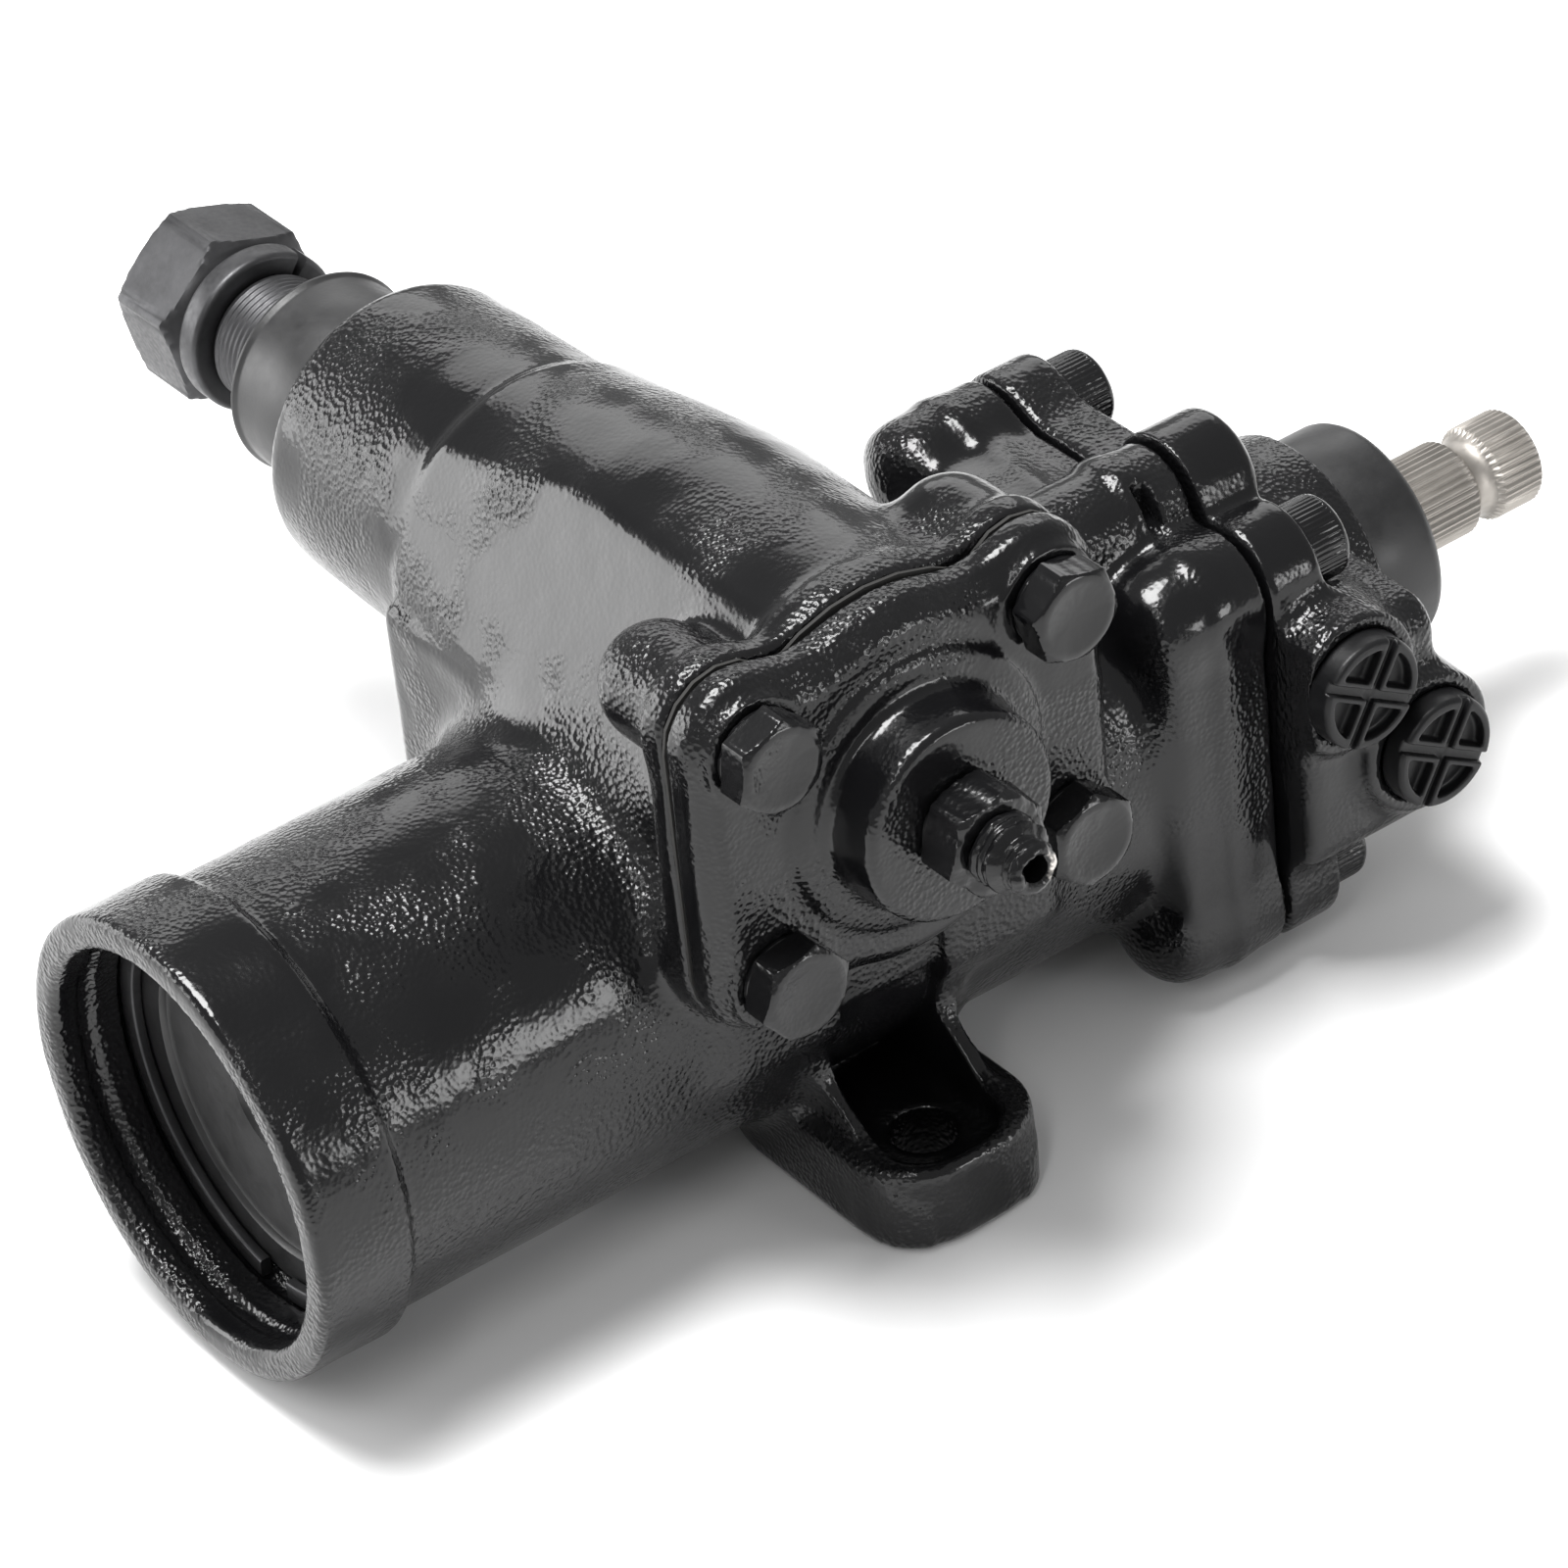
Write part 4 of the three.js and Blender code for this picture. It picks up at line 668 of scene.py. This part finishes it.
# ---------------------------------------------------------------- valve housing
def valve_casting():
    """The valve housing: flange, screw ears, crest, nose, two port bosses and the spigot behind."""
    f = Field((SPIGOT_X - 1.5, -59, -48), (NECK_END_X + 1.5, 48, 58), 0.75)
    origin = (0, 0, 0)
    core = f.turned(0, origin, [
        (HOUSING_FACE_X, 38), (EAR_X, 38), (92, 36), (98, 31.6), (104, 28.8), (112, 27.6), (NECK_END_X, 27.4),
    ], 1.6)
    core = np.maximum(core, HOUSING_FACE_X - f.x)
    flange = f.slab(0, valve_outline(f.y, f.z), HOUSING_FACE_X, EAR_X, 2.0)
    flange = np.maximum(flange, HOUSING_FACE_X - f.x)
    crest = f.turned(0, (0, *CREST), [(HOUSING_FACE_X, 11.5), (EAR_X, 11.2), (EAR_X + 2.5, 10.4)], 2.0)
    crest = np.maximum(crest, HOUSING_FACE_X - f.x)
    block = f.slab(0, flat_box(f.y, f.z, (-31.75, -0.5), (21.75, 24.5), 7.5), HOUSING_FACE_X, 109, 4.0)
    body = smooth_min(core, flange, 4.0)
    body = smooth_min(body, crest, 4.0)
    body = smooth_min(body, block, 5.0)
    for x, z in PORTS.values():
        boss = f.turned(1, (x, 0, z), [
            (PORT_FACE_Y, 13.8), (PORT_FACE_Y + 0.9, 14.4), (-44, 15), (-28, 15.8), (-10, 16.4),
        ], 0.6)
        body = smooth_min(body, boss, 4.0)
    body = np.maximum(body, HOUSING_FACE_X - f.x)
    for y, z in VALVE_SCREWS:
        body = np.maximum(body, -f.rod(0, (0, y, z), 9.3, EAR_X - 0.2, EAR_X + 40, 0.6))
    spigot = f.turned(0, origin, [
        (SPIGOT_X, SPIGOT_R - 1), (SPIGOT_X + 1, SPIGOT_R), (66, SPIGOT_R), (66.1, SPIGOT_R - 3),
        (69.5, SPIGOT_R - 3), (69.6, SPIGOT_R), (HOUSING_FACE_X + 2, SPIGOT_R),
    ])
    body = np.minimum(body, spigot)
    bore = f.turned(0, origin, [
        (SPIGOT_X - 4, 24), (76, 24), (76.2, 20.6), (112, 20.6),
        (112.2, 15), (121, 15), (121.2, 17), (130, 17),
    ])
    holes = [bore]
    for y, z in VALVE_SCREWS:
        holes.append(f.rod(0, (0, y, z), 5.3, SEAM_X - 10, EAR_X + 40))
    for x, z in PORTS.values():
        holes.append(f.turned(1, (x, 0, z), [
            (PORT_FACE_Y - 3, 11.9), (PORT_FACE_Y + 0.9, 11.9), (PORT_FACE_Y + 1.1, 9.6), (-40, 9.6),
        ]))
        holes.append(f.rod(1, (x, 0, z * 0.6), 3.5, -45, -10))
    for hole in holes:
        body = np.maximum(body, -hole)
    lumps = [(0.10, 9.0, 23), (0.03, 3.8, 24)]
    return casting("valve_housing_casting", "housing", "valve_housing", PAINT, f, body, lumps)


# ---------------------------------------------------------------- turned and fluted pieces
def hexagon(flats):
    """Radius of a hexagon by angle, never past the row's own radius, which gives the chamfers."""
    def radius(along, row, angle):
        lean = (angle + math.pi / 6) % (math.pi / 3) - math.pi / 6
        return np.minimum(row, flats / 2 / np.cos(lean))
    return radius


def serrated(teeth, depth):
    """Radius with grooves along the axis."""
    def radius(along, row, angle):
        wave = np.abs((angle * teeth / FULL_TURN) % 1 * 2 - 1)
        return row - depth * np.clip(wave * 1.5 - 0.25, 0, 1)
    return radius


def threaded(pitch, depth):
    """Radius with a groove that winds round the axis."""
    def radius(along, row, angle):
        wave = np.abs((along / pitch - angle / FULL_TURN) % 1 * 2 - 1)
        return row - depth * np.clip(wave * 1.3 - 0.15, 0, 1)
    return radius


def between(rows, shape, count, low, high):
    """Rows from low to high, each (along, radius), with a shape by angle."""
    return rows + [
        (low[0] + (high[0] - low[0]) * i / count, low[1] + (high[1] - low[1]) * i / count, shape)
        for i in range(count + 1)
    ]


def goes_all_round(arc):
    return arc[1] - arc[0] > FULL_TURN - 0.01


def ring_points(axis, at, rows, segments, turn, arc):
    """Points of each row, and the numbers of the points that make each ring."""
    others = [i for i in range(3) if i != axis]
    steps = segments if goes_all_round(arc) else segments - 1
    angles = arc[0] + (arc[1] - arc[0]) * np.arange(segments) / steps
    points, rings = [], []
    for row in rows:
        along, radius = row[:2]
        if radius == 0:
            point = [0.0, 0.0, 0.0]
            point[axis] = along + at[axis]
            point[others[0]], point[others[1]] = at[others[0]], at[others[1]]
            rings.append([len(points)])
            points.append(point)
            continue
        sizes = np.full(segments, float(radius)) if len(row) == 2 else row[2](along, radius, angles)
        first = len(points)
        for angle, size in zip(angles + turn, sizes):
            point = [0.0, 0.0, 0.0]
            point[axis] = along + at[axis]
            point[others[0]] = at[others[0]] + size * math.cos(angle)
            point[others[1]] = at[others[1]] + size * math.sin(angle)
            points.append(point)
        rings.append(list(range(first, first + segments)))
    return points, rings


def bridge(one, two, wrap):
    """Faces between two rings, either of which may be a single point."""
    if len(one) == 1 and len(two) == 1:
        return []
    count = max(len(one), len(two))
    last = count if wrap else count - 1
    faces = []
    for i in range(last):
        j = (i + 1) % count
        if len(one) == 1:
            faces.append((one[0], two[j], two[i]))
        elif len(two) == 1:
            faces.append((one[i], one[j], two[0]))
        else:
            faces.append((one[i], one[j], two[j], two[i]))
    return faces


def round_piece(name, node, body, material, axis, at, rows, segments=96, closed=False, turn=0.0,
                arc=(0.0, FULL_TURN), lumps=(), sharp=32, extra=None):
    """A piece turned round an axis. Each row is (along, radius) and may have a shape by angle."""
    points, rings = ring_points(axis, at, rows, segments, turn, arc)
    wrap = goes_all_round(arc)
    pairs = list(zip(rings, rings[1:])) + ([(rings[-1], rings[0])] if closed else [])
    faces = [face for one, two in pairs for face in bridge(one, two, wrap)]
    if not wrap:
        faces.append([ring[0] for ring in rings])
        faces.append([ring[-1] for ring in reversed(rings)])
    if extra:
        faces += [[i + len(points) for i in face] for face in extra[1]]
        points = points + extra[0]
    piece = new_piece(name, body, material, points, faces, node)
    made = bmesh.new()
    made.from_mesh(piece.data)
    bmesh.ops.recalc_face_normals(made, faces=made.faces)
    made.to_mesh(piece.data)
    made.free()
    mark_sharp(piece.data, sharp)
    if lumps:
        swell(piece, lumps)
    return piece


def swell(piece, lumps):
    """Uneven coats of paint: each point moves along its normal."""
    mesh = piece.data
    count = len(mesh.vertices)
    places, normals = np.zeros(count * 3, np.float32), np.zeros(count * 3, np.float32)
    mesh.vertices.foreach_get("co", places)
    mesh.vertex_normals.foreach_get("vector", normals)
    places, normals = places.reshape(-1, 3), normals.reshape(-1, 3)
    depth = sum(share * lattice_noise(places / MM, size, seed) for share, size, seed in lumps)
    places = places + normals * (depth * MM)[:, None]
    mesh.vertices.foreach_set("co", places.astype(np.float32).ravel())
    mesh.update()


def corner_turn(node, axis, at):
    """Angle of a corner of a hexagonal CAD node round an axis."""
    others = [i for i in range(3) if i != axis]
    best = widest = 0.0
    for vertex in frame["nodes"][node].data.vertices:
        place = [(vertex.co[i] - AXES[i]) / MM - at[i] for i in others]
        radius = math.hypot(*place)
        if radius > widest + 1e-3:
            widest, best = radius, math.atan2(place[1], place[0])
    return best % (FULL_TURN / 6)


def hex_rows(flats, low, high, chamfer_low, chamfer_high, wall=0.93):
    """Rows of a hexagon from low to high, with a cone cut on either end."""
    shape = hexagon(flats)
    face, corner = wall * flats / 2, 1.1547 * flats / 2 - 0.12
    tall = (corner - face) * math.tan(math.radians(30))
    rows = []
    if chamfer_low:
        rows = between(rows, shape, 5, (low, face), (low + tall, corner))
    else:
        rows.append((low, corner, shape))
    if chamfer_high:
        rows = between(rows, shape, 5, (high - tall, corner), (high, face))
    else:
        rows.append((high, corner, shape))
    return rows


def cover_bolt(number, x, z):
    """Hexagon head on a washer face, with a short shank."""
    node = f"cover_bolt_{number}"
    base = COVER_FRONT_Y - 0.3
    top = base - 7.6
    turn = corner_turn(node, 1, (x, 0, z)) - HALF_HEX_SIDE
    rows = [(top + 0.5, 0), (top + 0.5, 5.2), (top, 6.6)]
    rows += hex_rows(17.0, top, base - 0.9, True, False)
    rows += [(base - 0.9, 8.45), (base - 0.7, 8.6), (base - 0.1, 8.6), (base, 8.4)]
    rows += [(base, 4.4), (-36.2, 4.4), (-35.8, 0)]
    return round_piece(
        f"{node}_head", node, "housing", BOLT_PAINT, 1, (x, 0, z), rows,
        segments=144, turn=turn, lumps=[(0.10, 3.0, 40 + number), (0.05, 1.3, 50 + number)],
    )


def cap_screw(number, y, z):
    """Socket head cap screw with a knurled side."""
    node = f"valve_housing_screw_{number}"
    base, top = EAR_X + 0.3, EAR_X + 10
    knurl = serrated(48, 0.2)
    socket = hexagon(8.0)
    rows = [(EAR_X - 24, 0), (EAR_X - 24, 3.8), (EAR_X - 23.4, 4.4), (base, 4.4), (base, 7.7)]
    rows += [(base + 0.5, 8.1), (base + 1.2, 8.2), (base + 1.5, 8.2, knurl), (top - 1.9, 8.2, knurl)]
    rows += [(top - 1.6, 8.15), (top - 1.0, 8.0), (top - 0.3, 7.4), (top, 6.7), (top, 5.1)]
    rows += [(top - 0.4, 4.7, socket), (top - 5, 4.62, socket), (top - 5.6, 0)]
    return round_piece(
        f"{node}_head", node, "housing", BOLT_PAINT, 0, (0, y, z), rows,
        segments=264, turn=0.4 + 0.9 * number, lumps=[(0.05, 2.5, 60 + number)],
    )


def adjuster_pieces():
    """The lock nut, and the adjuster's worn stud with its socket and paint-clogged thread."""
    turn = corner_turn("adjuster_lock_nut", 1, SECTOR) - HALF_HEX_SIDE
    low, high = BOSS_END_Y - 10.3, BOSS_END_Y - 0.3
    rows = [(low + 0.6, 5.85), (low, 6.5), (low, 7.8)]
    rows += hex_rows(19.0, low, high, True, True)
    rows += [(high, 6.5), (high - 0.6, 5.85)]
    round_piece(
        "adjuster_lock_nut_painted", "adjuster_lock_nut", "housing", BOLT_PAINT, 1, SECTOR,
        rows, segments=144, closed=True, turn=turn, lumps=[(0.45, 3.4, 71), (0.28, 1.4, 72)],
    )
    end = node_span("lash_adjuster_screw", 1)[0] + 0.35
    clogged, worn, socket = threaded(1.5, 0.3), threaded(1.5, 0.5), hexagon(5.0)
    rows = [(end + 5.4, 0), (end + 5.4, 2.5, socket), (end + 0.6, 2.55, socket), (end + 0.1, 3.2)]
    rows += [(end, 3.7), (end + 0.3, 4.4), (end + 1.0, 4.9)]
    rows = between(rows, worn, 30, (end + 1.3, 5.1), (end + 4.4, 5.3))
    rows += [(end + 4.9, 6.1), (end + 5.6, 6.9)]
    rows = between(rows, clogged, 40, (end + 6.0, 7.0), (low - 1.1, 7.3))
    rows += [(low - 0.5, 7.2), (low - 0.3, 5.5), (-60, 5.5), (-60, 8), (-56, 8), (-56, 0)]
    round_piece(
        "lash_adjuster_stud", "lash_adjuster_screw", "housing", WORN_STUD, 1, SECTOR,
        rows, segments=96, lumps=[(0.3, 2.4, 73), (0.2, 1.0, 74)],
    )


def sector_shaft_pieces():
    """The CAD shaft up to its seal, and a finer end with serrations, a neck and a thread."""
    split = SHAFT_SPLIT_Y
    made = bmesh.new()
    made.from_mesh(frame["nodes"]["sector_shaft"].data)
    cut_at = (0, AXES.y + split * MM, 0)
    everything = made.verts[:] + made.edges[:] + made.faces[:]
    kept = bmesh.ops.bisect_plane(
        made, geom=everything, plane_co=cut_at, plane_no=(0, 1, 0), clear_outer=True,
    )
    rim = [item for item in kept["geom_cut"] if isinstance(item, bmesh.types.BMEdge)]
    bmesh.ops.holes_fill(made, edges=rim)
    made.verts.ensure_lookup_table()
    points = [[(v.co[i] - AXES[i]) / MM for i in range(3)] for v in made.verts]
    faces = [[v.index for v in face.verts] for face in made.faces]
    made.free()
    thread_end = node_span("sector_shaft", 1)[1]
    serration = serrated(36, 0.95)
    rows = [(split, 0), (split, 16), (124, 16), (125.6, 15.3), (127, 15.15)]
    rows = between(rows, serration, 6, (127.4, SERRATION_R), (134.6, SERRATION_R - 0.3))
    rows += [(136.2, 13.4), (136.8, NECK_R)]
    rows = between(rows, threaded(1.5, 0.35), 72, (137.0, NECK_R), (146.0, NECK_R))
    rows += [(146.5, 12.6), (146.6, 11.0)]
    rows = between(rows, threaded(1.5, 0.8), 128, (147.0, THREAD_R), (thread_end - 1.6, THREAD_R))
    rows += [(thread_end - 0.3, 9.7), (thread_end, 9.2), (thread_end, 1.8), (thread_end - 1.6, 0)]
    round_piece(
        "sector_shaft_turned", "sector_shaft", "sector", PHOSPHATE, 1, SECTOR, rows,
        segments=288, extra=(points, faces), sharp=28,
    )


def input_shaft_piece():
    """Hollow shaft with six valve grooves inside, and two serrated bands with a waist outside."""
    end, valve_r, band_r = INPUT_END_X, 12, 9.75

    def grooved(along, row, angle):
        lean = (angle + HALF_HEX_SIDE) % (2 * HALF_HEX_SIDE) - HALF_HEX_SIDE
        return np.where(np.abs(lean) < 1.6 / valve_r, valve_r - 1.2, row)

    fine = serrated(40, 0.55)
    rows = [(116, 0), (115.4, 4.2), (72, 4.2), (72, 8.9), (82.3, 8.9), (83.8, valve_r)]
    rows += [(87.9, valve_r), (88, valve_r, grooved), (106, valve_r, grooved), (106.1, valve_r)]
    rows += [(111.5, valve_r), (111.6, 10.3), (134, 10.3), (134.3, 10.1), (134.8, 9.9)]
    rows += [(135.4, band_r, fine), (156.2, band_r, fine), (156.8, 9.4, fine), (157.3, 8.8)]
    rows += [(157.8, 8.1), (158.4, 7.75), (159.6, 7.6), (160.8, 7.75), (161.5, 8.1), (162.0, 8.6)]
    rows += [(162.6, 9.3, fine), (163.2, band_r, fine), (end - 0.8, band_r, fine)]
    rows += [(end - 0.1, 9.0), (end, 8.6), (end, 2.0), (end - 1.4, 0)]
    round_piece(
        "input_shaft_turned", "input_shaft", "input", BRIGHT, 0, (0, 0, 0), rows,
        segments=288, sharp=28,
    )


def ring_profile(outer, inner, low, high, edge):
    """Closed rows of a flat ring with rounded edges."""
    rows = []
    for along, radius, turn_from in (
        (low + edge, outer - edge, 180), (high - edge, outer - edge, 90),
        (high - edge, inner + edge, 0), (low + edge, inner + edge, 270),
    ):
        for i in range(4):
            angle = math.radians(turn_from - 30 * i)
            rows.append((along + edge * math.cos(angle), radius + edge * math.sin(angle)))
    return rows


def small_turned_pieces():
    """Pitman nut, split washer, the two moulded caps, and the end plug with its snap ring."""
    nut_low, nut_high = node_span("pitman_nut", 1)
    turn = corner_turn("pitman_nut", 1, SECTOR) - HALF_HEX_SIDE
    rows = [(nut_low + 1.1, 11.2), (nut_low, 12.4), (nut_low, 14.5)]
    rows += hex_rows(33.3, nut_low, nut_high, True, True, 0.87)
    rows += [(nut_high, 14.5), (nut_high, 12.4), (nut_high - 1.1, 11.2)]
    round_piece(
        "pitman_nut_forged", "pitman_nut", "sector", PHOSPHATE, 1, SECTOR, rows,
        segments=192, closed=True, turn=turn,
    )
    washer_low, washer_high = node_span("lock_washer", 1)
    gap = math.radians(50)
    round_piece(
        "lock_washer_split", "lock_washer", "sector", PHOSPHATE, 1, SECTOR,
        ring_profile(16.7, 11.4, washer_low, washer_high, 1.2), segments=180, closed=True,
        arc=(gap + 0.07, gap + FULL_TURN - 0.07),
    )
    round_piece(
        "dust_seal_moulded", "dust_seal", "housing", SATIN, 1, SECTOR, [
            (100.2, 16.5), (100.2, 19.8), (100.7, 20.3), (120, 20.3), (126.6, 20.1),
            (127.2, 20.2), (127.7, 20.6), (128.2, 20.75), (128.5, 20.6), (128.5, 19.9),
            (128.1, 19.2), (127.4, 18.6), (127.1, 17.6), (127.1, 16.5),
        ], segments=144, closed=True, sharp=50,
    )
    low = NECK_END_X + 0.3
    high = node_span("nose_dust_cap", 0)[1]
    round_piece(
        "nose_dust_cap_moulded", "nose_dust_cap", "housing", SATIN, 0, (0, 0, 0), [
            (low, 17.2), (low, NOSE_R - 0.8), (low + 0.4, NOSE_R - 0.2), (low + 1.2, NOSE_R),
            (high - 2.6, NOSE_R), (high - 1.7, NOSE_R - 0.25), (high - 0.8, NOSE_R - 0.8),
            (high - 0.2, NOSE_R - 1.7), (high, NOSE_R - 2.8),
            (high, 15.4), (high - 0.3, 14.6), (high - 1.2, 13.4), (high - 1.5, 12.6), (high - 1.5, 10.75),
            (high - 5, 10.75), (high - 5, 17.2),
        ], segments=144, closed=True, sharp=50,
    )
    face = PLUG_FACE_X
    rim = MOUTH_R - 0.3
    round_piece(
        "end_plug_turned", "end_plug", "housing", SATIN, 0, (0, 0, 0), [
            (face + 2.4, 0), (face + 2.4, 9.5), (face + 2.0, 10), (face + 1.5, 10.4), (face + 1.5, 29.8),
            (face + 1.1, 30.6), (face + 0.3, 31), (face, 31.4), (face, rim - 0.8), (face + 0.5, rim),
            (face + 2.6, rim), (face + 2.6, rim - 2.5), (face + 5.6, rim - 2.5), (face + 5.6, rim),
            (PLUG_BACK_X, rim), (PLUG_BACK_X, 0),
        ], segments=144,
    )
    snap_low, snap_high = node_span("end_plug_retaining_ring", 0)
    below = -math.pi / 2
    round_piece(
        "end_plug_snap_ring", "end_plug_retaining_ring", "housing", PHOSPHATE,
        0, (0, 0, 0),
        ring_profile(MOUTH_R + 1.7, MOUTH_R - 2.4, snap_low, snap_high, 0.5), segments=200, closed=True,
        arc=(below + 0.11, below + FULL_TURN - 0.11),
    )


def port_plug(port):
    """Moulded plug: four sunk quadrants leave a rim and a cross, with a groove along each arm."""
    px, pz = PORTS[port]
    node = f"{port}_port_plug"
    front = node_span(node, 1)[0]
    f = Field(
        (px - 12.5, front - 0.8, pz - 12.5), (px + 12.5, -45, pz + 12.5), 0.28
    )
    turned_x = (f.x - px) * math.cos(PLUG_TURN) - (f.z - pz) * math.sin(PLUG_TURN)
    turned_z = (f.x - px) * math.sin(PLUG_TURN) + (f.z - pz) * math.cos(PLUG_TURN)
    body = f.turned(1, (px, 0, pz), [(front, 10.7), (front + 0.9, 11.2), (PORT_FACE_Y + 0.7, 11.4)], 0.5)
    skirt = f.rod(1, (px, 0, pz), 9.0, PORT_FACE_Y - 0.5, -46.4, 0.5)
    body = np.minimum(body, skirt)
    for across in (turned_x, turned_z):
        body = cut(body, np.maximum(np.abs(across) - 1.0, f.y - (front + 1.5)), 0.5)
    away = f.across(1, (px, 0, pz))
    quadrant = smooth_max(2.1 - np.abs(turned_x), 2.1 - np.abs(turned_z), 0.8)
    quadrant = smooth_max(quadrant, away - 9.2, 0.8)
    bowl = smooth_max(quadrant, f.y - (front + 2.4), 0.9)
    body = cut(body, bowl, 0.35)
    points, quads = surface_of(f, body)
    return new_piece(f"{node}_moulded", "housing", PLASTIC, points, quads, node)


gear_casting()
cover_casting()
valve_casting()
for index, (bolt_x, bolt_z) in enumerate(COVER_BOLTS):
    cover_bolt(index + 1, bolt_x, bolt_z)
for index, (screw_y, screw_z) in enumerate(VALVE_SCREWS):
    cap_screw(index + 1, screw_y, screw_z)
adjuster_pieces()
sector_shaft_pieces()
input_shaft_piece()
small_turned_pieces()
for port_name in PORTS:
    port_plug(port_name)

# ---------------------------------------------------------------- finishes of the CAD nodes that stay
FINISHES = {
    "black_paint": PAINT,
    "satin_black": SATIN,
    "rubber": RUBBER,
    "black_plastic": PLASTIC,
    "gasket": GASKET,
    "phosphate_steel": PHOSPHATE,
    "bright_steel": BRIGHT,
    "bearing_steel": BEARING,
    "bronze": BRONZE,
    "ptfe": PTFE,
}
for node_object in frame["nodes"].values():
    for place in node_object.material_slots:
        finish_name = place.material.name.split(".")[0]
        if finish_name in FINISHES:
            place.material = FINISHES[finish_name]


# ---------------------------------------------------------------- stage, light and camera
# The camera's place and aim in shaft-frame millimetres.
VIEW_AZIMUTH, VIEW_ELEVATION, VIEW_ROLL = -33.315, 35.971, -6.338
VIEW_DISTANCE = 1410.67
VIEW_TARGET = Vector((0.0, 5.486, 6.116))
LENS_MM, SENSOR_MM = 175.83, 36.0


def add_camera():
    """A long lens that looks down past the open mouth."""
    azimuth, elevation = math.radians(VIEW_AZIMUTH), math.radians(VIEW_ELEVATION)
    back = Vector((
        math.sin(azimuth) * math.cos(elevation),
        -math.cos(azimuth) * math.cos(elevation),
        math.sin(elevation),
    ))
    data = bpy.data.cameras.new("camera")
    data.lens = LENS_MM
    data.sensor_width = SENSOR_MM
    data.clip_end = 50.0
    camera = bpy.data.objects.new("camera", data)
    bpy.context.scene.collection.objects.link(camera)
    right = (-back).cross(Vector((0, 0, 1))).normalized()
    up = right.cross(-back)
    roll = math.radians(VIEW_ROLL)
    turned_right = math.cos(roll) * right + math.sin(roll) * up
    turned_up = -math.sin(roll) * right + math.cos(roll) * up
    place = Matrix((turned_right, turned_up, back)).transposed().to_4x4()
    place.translation = (VIEW_TARGET + back * VIEW_DISTANCE) * MM + AXES
    camera.matrix_world = place
    bpy.context.scene.camera = camera


def add_floor():
    """A pale floor just under the lowest point."""
    made = bmesh.new()
    bmesh.ops.create_grid(made, x_segments=4, y_segments=4, size=6.0)
    mesh = bpy.data.meshes.new("floor")
    made.to_mesh(mesh)
    made.free()
    floor = bpy.data.objects.new("floor", mesh)
    floor.location.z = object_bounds()[0].z - 0.0002
    bpy.context.scene.collection.objects.link(floor)
    mesh.materials.append(shader("pale_floor", (0.93, 0.93, 0.93), 0.9, specular=0.1)[0])


def add_light(name, place, aim, power, size):
    """A soft rectangular light, aimed at a point; places in metres, power in watts."""
    data = bpy.data.lights.new(name, "AREA")
    data.energy = power
    data.shape = "RECTANGLE"
    data.size, data.size_y = size
    light = bpy.data.objects.new(name, data)
    bpy.context.scene.collection.objects.link(light)
    light.location = place
    light.rotation_mode = "QUATERNION"
    light.rotation_quaternion = (Vector(aim) - Vector(place)).to_track_quat("-Z", "Y")


add_camera()
add_floor()
add_light("overhead", (-0.25, 0.2, 1.6), (-0.1, 0.05, 0.0), 38, (0.7, 0.7))
add_light("back_left_low", (-0.85, 0.85, 0.34), (-0.05, 0.0, 0.08), 11, (0.95, 0.6))
add_light("back_right", (0.9, 1.3, 0.95), (0, 0, 0.05), 7, (1.4, 0.8))
add_light("front_low", (0.45, -1.05, 0.24), (-0.1, -0.03, 0.06), 2.2, (0.35, 0.25))
add_light("front_strip", (-1.0, -0.9, 1.6), (0, 0, 0.05), 5, (0.2, 0.9))

world = bpy.data.worlds.new("studio")
bpy.context.scene.world = world
world.use_nodes = True
world.node_tree.nodes["Background"].inputs["Color"].default_value = (1, 1, 1, 1)
world.node_tree.nodes["Background"].inputs["Strength"].default_value = 0.38
bpy.context.scene.view_settings.view_transform = "Standard"
